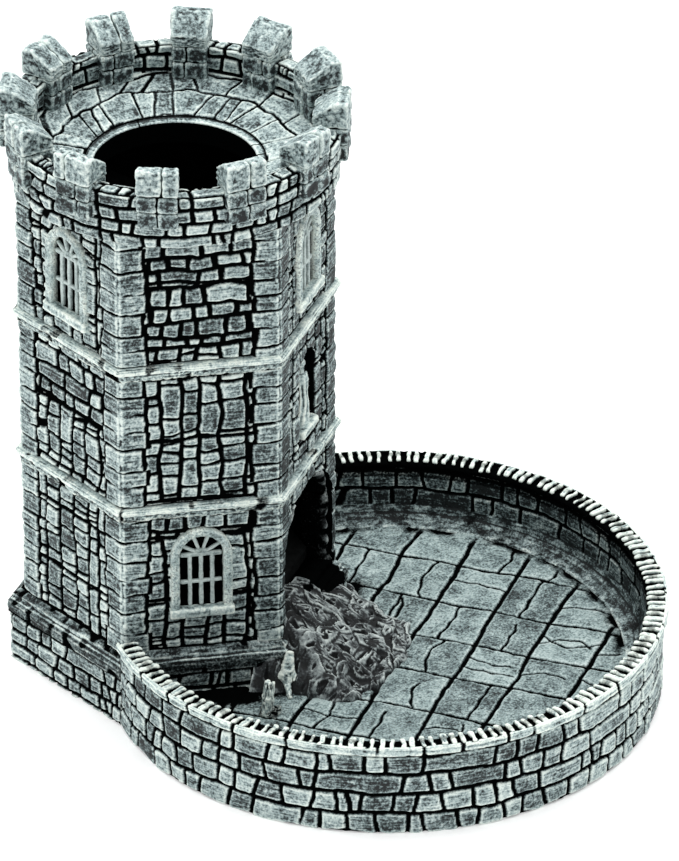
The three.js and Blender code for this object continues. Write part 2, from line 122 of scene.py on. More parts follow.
def masonry(s, t, width, height, seed, columns=None, jitter=(0.3, 0.26), spread=0.35, power=5, bond=0.5):
    """Irregular blocks laid in wandering rows over the plane (s, t).

    Returns the distance to the nearest joint in millimetres and a number for each block."""
    row = np.floor(t / height)
    first = np.full(s.shape, 1e9)
    second = first.copy()
    block = np.zeros(s.shape)
    for dj in (-1, 0, 1):
        j = row + dj
        shift = bond * np.mod(j, 2) + 0.25 * hash01(j, 0, 0, seed + 5)
        column = np.floor(s / width - shift)
        for di in (-2, -1, 0, 1, 2):
            i = column + di
            key = np.mod(i, columns) if columns else i
            h = [hash01(key, j, n, seed) - 0.5 for n in range(4)]
            cs = (i + 0.5 + shift + 2 * jitter[0] * h[0]) * width
            ct = (j + 0.5 + 2 * jitter[1] * h[1]) * height
            ds = np.abs(s - cs) / (width * (1 + 2 * spread * h[2]))
            dt = np.abs(t - ct) / (height * (1 + 2 * spread * h[3]))
            d = (ds**power + dt**power) ** (1 / power)
            nearer = d < first
            second = np.where(nearer, first, np.minimum(second, d))
            block = np.where(nearer, hash01(key, j, 9, seed), block)
            first = np.where(nearer, d, first)
    return to_distance(second - first, s, t), block


def to_distance(field, s, t):
    """Divides a field that is zero on a line by its slope, which makes it a distance."""
    ds = np.gradient(s, axis=1) if s.ndim == 2 else 1
    dt = np.gradient(t, axis=0) if t.ndim == 2 else 1
    fs = np.gradient(field, axis=1) / np.where(np.abs(ds) < 1e-6, 1e-6, ds)
    ft = np.gradient(field, axis=0) / np.where(np.abs(dt) < 1e-6, 1e-6, dt)
    slope = np.clip(np.hypot(fs, ft), 0.12, None)
    return np.clip(field / slope, 0, 4)


def coursed(s, t, width, height, seed, place, columns=None, shift=0.5, wave=0.7, uneven=0.22, slant=0.5,
            split=0.14, merge=0.12, narrow=0.0):
    """Hand-carved squared blocks in wandering rows over the plane (s, t).

    place gives two coordinates for the noise that stay continuous round a ring. Returns the distance
    to the nearest joint in millimetres and a number for each block. narrow thins the joints in a row."""
    px, py = place

    def bound(j):
        level = (j + 2 * uneven * (hash01(j, 0, 1, seed) - 0.5)) * height
        sway = wave * noise(px, py, j * 13.7, 8.0, seed + 1)
        return level + sway + 0.3 * wave * noise(px, py, j * 5.3, 2.4, seed + 2)

    j = np.floor(t / height)
    j = np.where(t < bound(j), j - 1, np.where(t >= bound(j + 1), j + 1, j))
    low, high = bound(j), bound(j + 1)
    level = (t - low) / np.maximum(high - low, 0.5)
    wander = 0.35 * noise(t, px, py, 2.6, seed + 3) / width
    f = s / width - shift * hash01(j, 3, 0, seed) + wander

    def key(i):
        return np.mod(i, columns) if columns else i

    def joint(i):
        lean = slant * (hash01(key(i), j, 4, seed) - 0.5) * (level - 0.5) * 2
        return i + 0.56 * (hash01(key(i), j, 5, seed) - 0.5) + lean * height / width * 0.5

    def present(i):
        return hash01(key(i), j, 6, seed) > merge

    i = np.floor(f)
    i = np.where(f < joint(i), i - 1, np.where(f >= joint(i + 1), i + 1, i))
    left = np.where(present(i), joint(i), joint(i - 1))
    right = np.where(present(i + 1), joint(i + 1), joint(i + 2))
    owner = np.where(present(i), i, i - 1)
    across = (f - left) / (right - left)
    side = np.where(hash01(key(owner), j, 8, seed) > 0.5, 1.0, -1.0)
    diagonal = (across - 0.5 + side * 0.2 * (level - 0.5)) * width * 0.85
    is_split = hash01(key(owner), j, 7, seed) < split
    gaps = [t - low, high - t, (f - left) * width + narrow, (right - f) * width + narrow,
            np.where(is_split, np.abs(diagonal) + narrow, 9)]
    edge = sum(np.maximum(g, 0.02) ** -5.0 for g in gaps) ** -0.2
    block = hash01(key(owner), j, 9 + (is_split & (diagonal > 0)), seed)
    return edge, block


def stone_relief(edge, block, joint=0.5, shoulder=0.75, depth=0.8, offset=0.35):
    """Height of a stone face: down in the joint, a rounded shoulder, a slightly domed top."""
    wash = smooth(edge, joint * 0.6, joint + shoulder)
    height = depth * (wash - 1) + 0.1 * smooth(edge, 0.8, 3) + offset * (block - 0.5) * wash
    return height, wash


# ------------------------------------------------------------------ meshes


def make_object(name, points, faces, attributes=None, uv=None):
    """points (n, 3) in millimetres; faces is an (m, 4) or (m, 3) array, or a list of such arrays."""
    mesh = bpy.data.meshes.new(name)
    faces = faces if isinstance(faces, list) else [faces]
    counts = np.concatenate([np.full(len(f), f.shape[1]) for f in faces])
    corners = np.concatenate([np.asarray(f).ravel() for f in faces]).astype(np.int32)
    starts = np.concatenate([[0], np.cumsum(counts)[:-1]]).astype(np.int32)
    mesh.vertices.add(len(points))
    mesh.vertices.foreach_set("co", (np.asarray(points, float) * MM).astype(np.float32).ravel())
    mesh.loops.add(len(corners))
    mesh.loops.foreach_set("vertex_index", corners)
    mesh.polygons.add(len(counts))
    mesh.polygons.foreach_set("loop_start", starts)
    mesh.update(calc_edges=True)
    for key, values in (attributes or {}).items():
        layer = mesh.attributes.new(key, "FLOAT", "POINT")
        layer.data.foreach_set("value", np.asarray(values, np.float32).ravel())
    if uv is not None:
        layer = mesh.attributes.new("flow", "FLOAT_VECTOR", "POINT")
        flat = np.concatenate([np.asarray(uv, float).reshape(-1, 2), np.zeros((len(points), 1))], axis=1)
        layer.data.foreach_set("vector", (flat * MM).astype(np.float32).ravel())
    mesh.validate()
    obj = bpy.data.objects.new(name, mesh)
    bpy.context.scene.collection.objects.link(obj)
    return obj


def grid_faces(rows, columns, wrap_rows, wrap_columns):
    """Quads of a grid whose vertex (k, n) has number k * columns + n."""
    k = np.arange(rows if wrap_rows else rows - 1)
    n = np.arange(columns if wrap_columns else columns - 1)
    k, n = np.meshgrid(k, n, indexing="ij")
    k2, n2 = (k + 1) % rows, (n + 1) % columns
    quads = [k * columns + n, k * columns + n2, k2 * columns + n2, k2 * columns + n]
    return np.stack(quads, -1).reshape(-1, 4)


def make_slab(name, sheet, bottom, wash, tone, with_flow=False):
    """Closes a sheet of points (rows, columns, 3) into a solid with straight sides down to bottom."""
    rows, columns = sheet.shape[:2]
    points = sheet.reshape(-1, 3)
    loop = np.concatenate([np.arange(columns), np.arange(2 * columns - 1, rows * columns, columns),
                           np.arange(rows * columns - 2, (rows - 1) * columns - 1, -1),
                           np.arange((rows - 2) * columns, 0, -columns)])
    base = points[loop].copy()
    base[:, 2] = bottom
    m = rows * columns + np.arange(len(loop))
    sides = np.stack([m, np.roll(m, -1), np.roll(loop, -1), loop], 1)
    everything = np.concatenate([points, base])
    bare = np.zeros(len(loop))
    values = {"wash": np.concatenate([wash.ravel(), bare]), "tone": np.concatenate([tone.ravel(), bare])}
    faces = [grid_faces(rows, columns, False, False), sides, m[None, ::-1]]
    return make_object(name, everything, faces, values, everything[:, :2] if with_flow else None)


def join_parts(parts):
    """Joins (points, faces, attributes) tuples into one, such as the stones of a merlon."""
    points, quads, triangles, start = [], [], [], 0
    attributes = {key: [] for key in ("wash", "tone")}
    for p, f, a in parts:
        for array in f if isinstance(f, list) else [f]:
            (quads if array.shape[1] == 4 else triangles).append(array + start)
        points.append(p)
        start += len(p)
        for key in attributes:
            attributes[key].append(np.broadcast_to(a[key], len(p)))
    faces = [np.concatenate(g) for g in (quads, triangles) if g]
    return np.concatenate(points), faces, {k: np.concatenate(v) for k, v in attributes.items()}


def add_edge_attribute(obj):
    """Stores how convex the surface is at each vertex, which is where a dry brush leaves paint."""
    mesh = obj.data
    co = np.empty(len(mesh.vertices) * 3, np.float32)
    mesh.vertices.foreach_get("co", co)
    co = co.reshape(-1, 3).astype(float)
    normals = np.empty(len(mesh.vertices) * 3, np.float32)
    mesh.vertex_normals.foreach_get("vector", normals)
    normals = normals.reshape(-1, 3)
    pairs = np.empty(len(mesh.edges) * 2, np.int32)
    mesh.edges.foreach_get("vertices", pairs)
    a, b = pairs.reshape(-1, 2).T
    d = co[a] - co[b]
    length = np.maximum(np.linalg.norm(d, axis=1), 1e-9)
    total = np.bincount(a, (normals[a] * d).sum(1) / length, len(co))
    total += np.bincount(b, -(normals[b] * d).sum(1) / length, len(co))
    count = np.bincount(a, minlength=len(co)) + np.bincount(b, minlength=len(co))
    convex = total / np.maximum(count, 1)
    # A second pass spreads it over the neighbours, so that it doesn't follow single vertices.
    spread = np.bincount(a, convex[b], len(co)) + np.bincount(b, convex[a], len(co))
    convex = 0.5 * convex + 0.5 * spread / np.maximum(count, 1)
    layer = mesh.attributes.new("edge", "FLOAT", "POINT")
    layer.data.foreach_set("value", convex.astype(np.float32))


def cut(obj, cutters, operation="DIFFERENCE"):
    """Applies exact booleans with closed cutter objects and deletes them."""
    for cutter in cutters:
        modifier = obj.modifiers.new("cut", "BOOLEAN")
        modifier.operation = operation
        modifier.solver = "MANIFOLD"
        modifier.object = cutter
    bpy.context.view_layer.update()
    graph = bpy.context.evaluated_depsgraph_get()
    result = bpy.data.meshes.new_from_object(obj.evaluated_get(graph))
    obj.modifiers.clear()
    old = obj.data
    obj.data = result
    bpy.data.meshes.remove(old)
    for cutter in cutters:
        data = cutter.data
        bpy.data.objects.remove(cutter)
        bpy.data.meshes.remove(data)
    return obj


def prism(outline, low, high):
    """A closed cutter with a flat outline of (x, y) points between two heights."""
    n = len(outline)
    base = np.array([[x, y, low] for x, y in outline] + [[x, y, high] for x, y in outline], float)
    i = np.arange(n)
    sides = np.stack([i, (i + 1) % n, (i + 1) % n + n, i + n], 1)
    fan = np.stack([np.zeros(n - 2, int), i[2:], i[1:-1]], 1)
    lid = np.stack([np.full(n - 2, n), i[1:-1] + n, i[2:] + n], 1)
    return make_object("cutter", base, [sides, np.concatenate([fan, lid])])


def hexagon(radius):
    angles = np.radians(-90 + 60 * np.arange(6))
    return np.stack([TOWER_X + radius * np.cos(angles), radius * np.sin(angles)], 1)


def wall_prism(angle, outline, x0, x1):
    """A closed cutter with a [y, z] outline, set into the wall face at an angle."""
    solid = prism([(y, z) for y, z in outline], x0, x1)
    rotate = math.radians(angle)
    co = np.empty(len(solid.data.vertices) * 3, np.float32)
    solid.data.vertices.foreach_get("co", co)
    y, z, x = co.reshape(-1, 3).T.astype(float)
    placed = np.stack([x * math.cos(rotate) - y * math.sin(rotate) + TOWER_X * MM,
                       x * math.sin(rotate) + y * math.cos(rotate), z], 1)
    solid.data.vertices.foreach_set("co", placed.astype(np.float32).ravel())
    solid.data.update()
    return solid


def arch(half_width, z0, spring, top, steps=20):
    a = np.linspace(0, math.pi, steps + 1)
    curve = np.stack([half_width * np.cos(a), spring + (top - spring) * np.sin(a)], 1)
    return np.concatenate([[[-half_width, z0], [half_width, z0]], curve])


def hex_path(radius, step=STEP):
    """Columns round a hexagon: unit points, face number and distance from the face's middle."""
    per_side = int(round(radius / step))
    t = np.tile(np.arange(per_side) / per_side - 0.5, HEX)
    side = np.repeat(np.arange(HEX), per_side)
    normal = np.radians(-60 + 60 * side)
    unit = np.stack([APOTHEM * np.cos(normal) - t * np.sin(normal),
                     APOTHEM * np.sin(normal) + t * np.cos(normal)], 1)
    return unit, side, t * radius


def circle_path(radius, step=STEP, start=0.0, stop=360.0):
    full = stop - start >= 360
    n = int(round(math.radians(stop - start) * radius / step))
    a = np.radians(np.linspace(start, stop, n, endpoint=not full))
    return np.stack([np.cos(a), np.sin(a)], 1), a


def dense_profile(points):
    """Splits a profile of [r, z, step] points into rows. A step of 0 leaves that stretch whole.

    Returns the rows, their outward normals and the stretch each is on."""
    rows, normals, section = [], [], []
    for i, (r0, z0, step) in enumerate(points):
        r1, z1 = points[(i + 1) % len(points)][:2]
        length = math.hypot(r1 - r0, z1 - z0)
        count = max(1, int(round(length / step))) if step else 1
        for c in range(count):
            f = c / count
            rows.append((r0 + (r1 - r0) * f, z0 + (z1 - z0) * f))
            normals.append(((z1 - z0) / length, -(r1 - r0) / length))
            section.append(i)
    return np.array(rows), np.array(normals), np.array(section)


def sweep(name, profile, unit, relief, mitre=1.0, centre=TOWER_X, solid=False, arc=False, flow=None):
    """Sweeps a profile round the unit path. relief(rows, section) gives the height, wash and tone
    of every vertex. A solid has its first and last rows closed by flat lids, an arc has flat ends."""
    rows, normals, section = dense_profile(profile)
    if solid:
        keep = section < len(profile) - 1
        rows, normals, section = rows[keep], normals[keep], section[keep]
        rows = np.concatenate([rows, [profile[-1][:2]]])
        normals = np.concatenate([normals, normals[-1:]])
        section = np.append(section, section[-1])
    height, wash, tone = relief(rows, section)
    r = rows[:, :1] + height * normals[:, :1] * mitre
    z = np.maximum(rows[:, 1:] + height * normals[:, 1:], 0)
    k, n = height.shape
    points = np.stack([centre + r * unit[:, 0], r * unit[:, 1], z], -1).reshape(-1, 3)
    faces = [grid_faces(k, n, not solid, not arc)]
    if solid:
        faces += [np.arange(n)[None, ::-1], (np.arange(n) + (k - 1) * n)[None, :]]
    if arc:
        faces += [(np.arange(k) * n)[None, :], (np.arange(k) * n + n - 1)[None, ::-1]]
    uv = None
    if flow is not None:
        uv = np.stack([np.broadcast_to(flow, (k, n)), np.broadcast_to(z, (k, n))], -1)
    return make_object(name, points, faces, {"wash": wash, "tone": tone}, uv)


# ------------------------------------------------------------------ small pieces


def rough_block(low, high, seed, radius=0.6, rough=0.14, step=0.75, tone=0.0, wash=1.0, bend=None):
    """A stone block with rounded edges and an uneven face, as (points, faces, attributes)."""
    low, high = np.array(low, float), np.array(high, float)
    half, middle = (high - low) / 2, (high + low) / 2
    counts = [int(np.clip(round(2 * h / step), 2, 40)) for h in half]
    points, faces, lookup = [], [], {}

    def vertex(i, j, k):
        if (i, j, k) not in lookup:
            lookup[(i, j, k)] = len(points)
            points.append([2 * i / counts[0] - 1, 2 * j / counts[1] - 1, 2 * k / counts[2] - 1])
        return lookup[(i, j, k)]

    for axis in range(3):
        u, v = (axis + 1) % 3, (axis + 2) % 3
        for side in (0, counts[axis]):
            for a in range(counts[u]):
                for b in range(counts[v]):
                    quad = []
                    for da, db in ((0, 0), (1, 0), (1, 1), (0, 1)):
                        index = [0, 0, 0]
                        index[axis], index[u], index[v] = side, a + da, b + db
                        quad.append(vertex(*index))
                    faces.append(quad if side else quad[::-1])
    p = np.array(points) * half
    r = min(radius, *(half * 0.9))
    core = np.clip(p, -(half - r), half - r)
    out = p - core
    length = np.linalg.norm(out, axis=1, keepdims=True)
    p = core + out / np.maximum(length, 1e-9) * np.minimum(r, length)
    p = p + middle
    direction = out / np.maximum(length, 1e-9)
    p = p + direction * (rough * fractal(p[:, 0], p[:, 1], p[:, 2], 1.9, seed, 2))[:, None]
    if bend is not None:
        p = bend(p)
    return p, np.array(faces), {"wash": wash, "tone": tone}


def turn(points, angle, centre=TOWER_X):
    """Turns points made at the origin with +X outward to a wall face or a crown position."""
    a = math.radians(angle)
    x, y, z = points.T
    return np.stack([centre + x * math.cos(a) - y * math.sin(a), x * math.sin(a) + y * math.cos(a), z], 1)


def tube(path, section, seed, rough=0.1, tone=0.0):
    """Sweeps a closed section of (across, up) offsets along a path of (point, across, up) frames."""
    points = np.array([[c + a * x + u * y for x, y in section] for c, a, u in path])
    k, n = points.shape[:2]
    flat = points.reshape(-1, 3)
    flat = flat + rough * np.stack([fractal(*flat.T, 1.6, seed + i, 2) for i in range(3)], 1)
    faces = [grid_faces(k, n, False, True), np.arange(n)[None, ::-1], (np.arange(n) + (k - 1) * n)[None, :]]
    return flat, faces, {"wash": 1.0, "tone": tone}


# ------------------------------------------------------------------ tower


def corner_levels(corner, z0, z1, seed):
    """Heights of the joints between the corner blocks at one corner."""
    levels = [z0 - 2.2 * float(hash01(corner, 0, 0, seed))]
    while levels[-1] < z1 + 6:
        levels.append(levels[-1] + 4.9 + 2.4 * float(hash01(corner, len(levels), 1, seed)))
    return np.array(levels)


def hex_wall_relief(z, s, face, radius, z0, z1, seed, width=6.3, height=5.4):
    """Corner blocks beside rubble on one face: returns height, wash and tone."""
    half = radius / 2
    x = np.where(s < 0, -(half + s), half - s)
    dist = np.abs(x)
    wobble = 0.35 * noise(s, z, face * 50.0, 2.6, seed + 40)
    block_width = np.zeros(z.shape)
    joint_z = np.zeros(z.shape)
    block_tone = np.zeros(z.shape)
    corner_id = np.where(s < 0, face, (face + 1) % HEX)
    for corner, mask in ((face, s < 0), ((face + 1) % HEX, s >= 0)):
        levels = corner_levels(corner, z0, z1, seed)
        zz = z + 0.45 * noise(dist, z, corner * 31.0, 5.0, seed + 41)
        i = np.searchsorted(levels, zz) - 1
        i = np.clip(i, 0, len(levels) - 2)
        gap = np.minimum(zz - levels[i], levels[i + 1] - zz)
        faint = 0.3 * (noise(dist, z, corner * 17.0, 4.2, seed + 42) + 0.15)
        w = 6.9 + 1.7 * hash01(corner, i, 2, seed) + 0.5 * noise(s, z, 3.0, 2.0, seed + 43)
        block_width = np.where(mask, w, block_width)
        joint_z = np.where(mask, gap + np.maximum(faint, 0) * 1.1, joint_z)
        block_tone = np.where(mask, hash01(corner, i, 3, seed), block_tone)
    warp_s = s + 0.6 * noise(s, z, face * 9.0, 9.0, seed + 44)
    upright, first = coursed(z, warp_s + 50, height, width, seed + 7 * face, (z, face * 97.0 + 0 * s),
                             shift=1.0,
                             wave=0.9, uneven=0.16, slant=0.35, split=0.06, merge=0.1, narrow=0.2)
    level, second = coursed(warp_s, z, width, height, seed + 7 * face + 3, (s, face * 97.0 + 0 * s),
                            shift=1.0,
                            wave=0.9, uneven=0.16, slant=0.35, split=0.06, merge=0.1, narrow=-0.05)
    shelf = (z + 0.7 * noise(s, z, face * 41.0, 7.0, seed + 60)) / 21.0 + hash01(face, 1, 0, seed)
    band = np.floor(shelf)
    is_upright = hash01(face, band, 2, seed) < 0.65
    border = np.minimum(shelf - band, band + 1 - shelf) * 21.0
    edge = np.minimum(np.where(is_upright, upright, level), border)
    block = np.where(is_upright, first, second)
    edge = np.minimum(np.minimum(edge, dist - block_width), z - z0 + 0.5)
    corner_edge = np.minimum(joint_z, block_width - dist)
    in_corner = dist < block_width
    panel_height, panel_wash = stone_relief(edge + wobble * 0.4, block, 0.58, 0.42, 0.95, 0.5)
    faded = 0.8 * smooth(noise(dist * 0.6, z, corner_id * 23.0, 3.4, seed + 50), -0.1, 0.7)
    faded = faded * smooth(dist, 6.5, 0.5)
    quoin_height, quoin_wash = stone_relief(corner_edge + wobble * 0.3 + faded, block_tone, 0.3, 0.42, 0.7,
                                            0.3)
    streak = 0.16 * noise(s * 0.18, z, face * 5.0, 1.1, seed + 48)
    rounding = 0.45 * (1 - smooth(dist, 0, 1.1)) ** 2
    height_map = np.where(in_corner, quoin_height + 0.2 + streak - rounding, panel_height - 0.15)
    wash_map = np.where(in_corner, quoin_wash, panel_wash)
    arris = (1 - smooth(dist, 0.3, 1.3)) * smooth(noise(z, corner_id * 11.0, 0, 3.0, seed + 51), -0.7, 0.1)
    tone_map = np.where(in_corner, 0.2 + 0.65 * block_tone + 0.75 * arris, block * 0.95)
    # Painted shade: the whole exit face gets a darker tone than the other faces.
    tone_map = tone_map - np.where(face == EXIT_FACE, 0.55, 0.0)
    rough = 0.13 * fractal(s, z, face * 20.0, 1.5, seed + 49)
    return height_map + rough, wash_map, tone_map * 2 - 1


def hex_face_maps(unit_side, s_row, rows, relief_face):
    """Evaluates relief_face on each face apart and puts the results side by side."""
    maps = [[], [], []]
    for face in range(HEX):
        columns = unit_side == face
        s = np.broadcast_to(s_row[columns], (len(rows), columns.sum()))
        z = np.broadcast_to(rows[:, None], s.shape)
        for target, value in zip(maps, relief_face(s, z, face)):
            target.append(value)
    return [np.concatenate(m, axis=1) for m in maps]


def make_storey(name, seed, cutters):
    radius = corner_radius(name)
    z0, z1 = z_range(name)
    unit, side, s_row = hex_path(radius)
    profile = [(radius, z0 - 0.5, STEP), (radius, z1 + 0.5, 0), (SHAFT_R, z1 + 0.5, 0),
               (SHAFT_R, z0 - 0.5, 0)]

    def relief(rows, section):
        outer = section == 0
        shape = (len(rows), len(unit))
        height, wash, tone = np.zeros(shape), np.zeros(shape), np.zeros(shape)
        maps = hex_face_maps(side, s_row, rows[outer, 1],
                             lambda s, z, face: hex_wall_relief(z, s, face, radius, z0, z1, seed))
        height[outer], wash[outer], tone[outer] = maps
        if name == "wall_lower":
            # Painted shade: below and just inside the exit arch the wall is made almost black.
            threshold = (side == EXIT_FACE) & (np.abs(s_row) < THRESHOLD_HALF)
            wash = wash * np.where(threshold & (rows[:, 1:] < 28), 0.1, 1)
        return height, wash, tone

    obj = sweep(name + "_stone", profile, unit, relief, mitre=1 / APOTHEM, flow=side * 60 + s_row)
    return cut(obj, cutters) if cutters else obj


def streaky(s, z, seed, amount=0.14):
    """Uneven dressed stone with long marks along its length."""
    return amount * noise(s * 0.12, z, 4.0, 0.8, seed) + 0.16 * fractal(s, z, 7.0, 2.2, seed + 3)


def make_course(name, seed):
    radius = corner_radius(name)
    z0, z1 = z_range(name)
    unit, side, s_row = hex_path(radius)
    unit_x = unit[:, 0]
    profile = [(SHAFT_R, z0, 0), (radius - 1.9, z0, 0.4), (radius - 1.3, z0 + 0.8, 0.4),
               (radius - 0.9, z1 - 2.2, 0.4), (radius, z1 - 1.5, 0.3), (radius, z1 - 0.8, 0.3),
               (radius - 0.5, z1 - 0.2, 0.3), (radius - 1.5, z1, 0.6), (SHAFT_R, z1, 0)]

    def relief(rows, section):
        s = np.broadcast_to(s_row + 61 * side, (len(rows), len(s_row)))
        t = np.broadcast_to(rows[:, 1:], s.shape)
        outer = ((section > 0) & (section < 7))[:, None]
        chips = smooth(noise(s, t, 0.0, 3.1, seed), 0.45, 0.8)
        under = 1 - smooth(t, z1 - 2.2 + 0.5 * noise(s, 0, 0, 7.0, seed + 2), z1 - 1.6)
        crumble = 0.35 * under * fractal(s, t, 2, 1.4, seed)
        height = np.where(outer, streaky(s, t, seed + 5) - 0.45 * chips + crumble, 0)
        corner = smooth(np.abs(s_row), radius / 2 - 0.9, radius / 2)[None, :]
        height = height - 0.3 * corner * outer
        # Painted shade: below the top lip the course gets less paint, most on the faces turned away from the
        # tray.
        painted_shade_under_lip = under * (0.26 + 0.5 * fractal(s * 0.4, t, 1, 1.7, seed + 6) * smooth(-unit_x, -0.7, 0.3))
        wash = np.clip(1 - 0.6 * chips - painted_shade_under_lip, 0, 1) * np.where(section[:, None] == 0, 0.2, 1)
        # Painted shade: the same band under the lip also gets a darker tone.
        return height, wash, 0.5 + 0.4 * noise(s, 0, 0, 9.0, seed + 8) - 0.7 * under + 0 * t

    return sweep(name + "_stone", profile, unit, relief, mitre=1 / APOTHEM, flow=side * 60 + s_row)


def make_plinth(seed):
    radius = corner_radius("plinth")
    top = z_range("plinth")[1]
    unit, side, s_row = hex_path(radius)
    r = radius - 0.4
    profile = [(r, 0, STEP), (r, 16.0, 0.3), (radius - 0.1, 16.7, 0.4), (radius, 19.6, 0.4),
               (radius - 1.1, 20.7, 0.35), (radius - 1.9, 20.9, 0.35), (radius - 2.0, 22.1, 0.4),
               (radius - 4.4, top, 0), (SHAFT_R - 2, top, 0)]

    def relief(rows, section):
        shape = (len(rows), len(unit))
        brick = section == 0
        height, wash, tone = (np.zeros(shape) for _ in range(3))

        def bricks(s, z, face):
            place = (s, face * 97.0 + 0 * s)
            edge, block = coursed(s, z - 0.8, 7.2, 5.2, seed + 11 * face, place, wave=0.8, merge=0.08)
            top_joint = 16.5 - z
            h, w = stone_relief(np.minimum(edge, top_joint), block, 0.5, 0.42, 0.95, 0.6)
            corner = smooth(np.abs(s), radius / 2 - 1.0, radius / 2) ** 2
            return h - 0.45 * corner + 0.16 * fractal(s, z, face * 3.0, 1.6, seed + 4), w, block * 2 - 1

        height[brick], wash[brick], tone[brick] = hex_face_maps(side, s_row, rows[brick, 1], bricks)
        s = np.broadcast_to(s_row + 61 * side, shape)
        z = np.broadcast_to(rows[:, 1:], shape)
        cap = ((section > 0) & (section < 7))[:, None]
        chips = smooth(noise(s, z, 0.0, 3.4, seed + 6), 0.4, 0.8)
        height = np.where(cap, streaky(s, z, seed + 7, 0.2) - 0.4 * chips, height)
        groove = (section == 1)[:, None]
        band = np.isin(section, (2, 3))[:, None]
        slope = (section == 6)[:, None]
        mortar = 0.66 + 0.4 * fractal(s * 0.4, z, 0.0, 1.6, seed + 9)
        # Painted shade: the cap's upright face and the chamfer above it (band) get less paint.
        ledge = np.where(band, 0.62, np.where(slope, mortar, 1.0))
        wash = np.where(cap, np.where(groove, 0.1, ledge - 0.5 * chips), wash)
        # Painted shade: the two plinth faces beside the exit, facing into the tray, are darker below the cap.
        painted_shade_faces = (side <= 2) & (side != EXIT_FACE)
        wash = wash * np.where(painted_shade_faces, 0.72 + 0.28 * smooth(z, 20, 22.5), 1)
        # Painted shade: in front of the exit arch the plinth's face is made almost black.
        threshold = (side == EXIT_FACE) & (np.abs(s_row) < THRESHOLD_HALF + 1)
        wash = wash * np.where(threshold, 0.15, 1)
        # Painted shade: band also gets the darkest tone of the cap.
        pale = np.where(band, -0.7, np.where(slope, -0.1, 0.5))
        tone = np.where(cap, 0.4 * noise(s, z, 0.0, 7.0, seed + 8) + pale, tone)
        return height, wash, tone

    plinth = sweep("plinth_stone", profile, unit, relief, mitre=1 / APOTHEM, solid=True,
                   flow=side * 60 + s_row)
    return spread_back(plinth, 1.7)


def spread_back(obj, amount):
    """Pushes the side away from the tray outward, where the casting is a little wider."""
    mesh = obj.data
    co = np.empty(len(mesh.vertices) * 3, np.float32)
    mesh.vertices.foreach_get("co", co)
    x = co[0::3] / MM - TOWER_X
    co[0::3] -= amount * MM * smooth(-x, 2, 40)
    mesh.vertices.foreach_set("co", co)
    mesh.update()
    return obj


# ------------------------------------------------------------------ crown

HOLE_R = 24.0
PARAPET_IN = 43.4


def round_relief(s, t, circumference, width, height, seed, depth=0.95, joint=0.5, **options):
    """Coursed stones round a ring; s runs round it and t across the courses."""
    columns = int(round(circumference / width))
    around = s / circumference * 2 * math.pi
    radius = circumference / (2 * math.pi)
    cx, cy = radius * np.cos(around), radius * np.sin(around)
    edge, block = coursed(s, t, circumference / columns, height, seed, (cx, cy), columns=columns, **options)
    h, w = stone_relief(edge, block, joint, 0.42, depth, 0.55)
    return h + 0.14 * fractal(cx, cy, t, 1.5, seed + 4), w, block * 2 - 1


def make_parapet(seed):
    z0, z1 = z_range("parapet")
    profile = [(41, z0, 0), (48.2, z0, STEP), (48.5, z0 + 4, STEP), (49.3, z1 - 6, STEP),
               (49.6, z1 - 0.9, STEP),
               (49.1, z1 - 0.1, STEP), (PARAPET_IN + 0.4, z1 + 0.1, STEP), (PARAPET_IN, z1 - 0.6, STEP),
               (PARAPET_IN, 166, 0), (41, 165, 0)]
    unit, angle = circle_path(48.6)

    def relief(rows, section):
        lengths = np.hypot(*np.diff(rows, axis=0, append=rows[:1]).T)
        t = np.broadcast_to(np.cumsum(lengths)[:, None] - 7.2, (len(rows), len(angle)))
        s = np.broadcast_to(angle * 48.6, t.shape)
        h, w, tone = round_relief(s, t, 2 * math.pi * 48.6, 7.0, 4.45, seed, uneven=0.1, wave=0.6)
        shown = ((section > 0) & (section < 8))[:, None]
        return np.where(shown, h, 0), np.where(shown, w, 0.1), np.where(shown, tone, 0)

    return sweep("parapet_stone", profile, unit, relief, flow=angle * 48.6)


def make_deck(seed):
    low, high = z_range("crown_deck")
    lip = low + 7.1
    profile = [(33.2, low, 0), (33.2, lip - 1.3, 0), (PARAPET_IN, lip - 1.3, 0), (PARAPET_IN, high, STEP),
               (26.6, lip + 0.7, 0.35), (26.3, lip + 0.1, 0.4), (HOLE_R + 0.4, lip, 0.3),
               (HOLE_R, lip - 0.5, 0.5), (HOLE_R, low, 0)]
    unit, angle = circle_path(36.0)

    def relief(rows, section):
        r = rows[:, 0]
        t = np.broadcast_to((PARAPET_IN - r)[:, None], (len(rows), len(angle)))
        s = np.broadcast_to(angle * 36.0, t.shape)
        h, w, tone = round_relief(s, t + 0.3, 2 * math.pi * 36, 10.5, 8.4, seed, depth=0.6, wave=1.5,
                                  slant=1.2, split=0.3, uneven=0.12, joint=0.26, merge=0.03)
        faded = 0.5 * smooth(noise(r[:, None] * np.cos(angle), r[:, None] * np.sin(angle), 0, 5.0, seed + 9),
                             0, 0.6)
        w = w + (1 - w) * faded
        h2, w2, tone2 = round_relief(s, t - 17.1, 2 * math.pi * 36, 12.0, 40, seed + 30, depth=0.4, joint=0.2,
                                     merge=0.5, split=0)
        flags = (section == 3)[:, None]
        ring = np.isin(section, (5, 6))[:, None]
        height = np.where(flags, h * smooth(t, -0.2, 0.8), np.where(ring, h2 * 0.5, 0))
        dark = np.isin(section, (7, 8, 0, 1, 2))[:, None]
        wash = np.where(flags, w, np.where(ring, w2, np.where(dark, 0.03, 0.15)))
        return height, wash, np.where(flags, tone * 0.6 + 0.45, tone2 * 0.4 + 0.5)

    return sweep("crown_deck_stone", profile, unit, relief, flow=angle * 36)


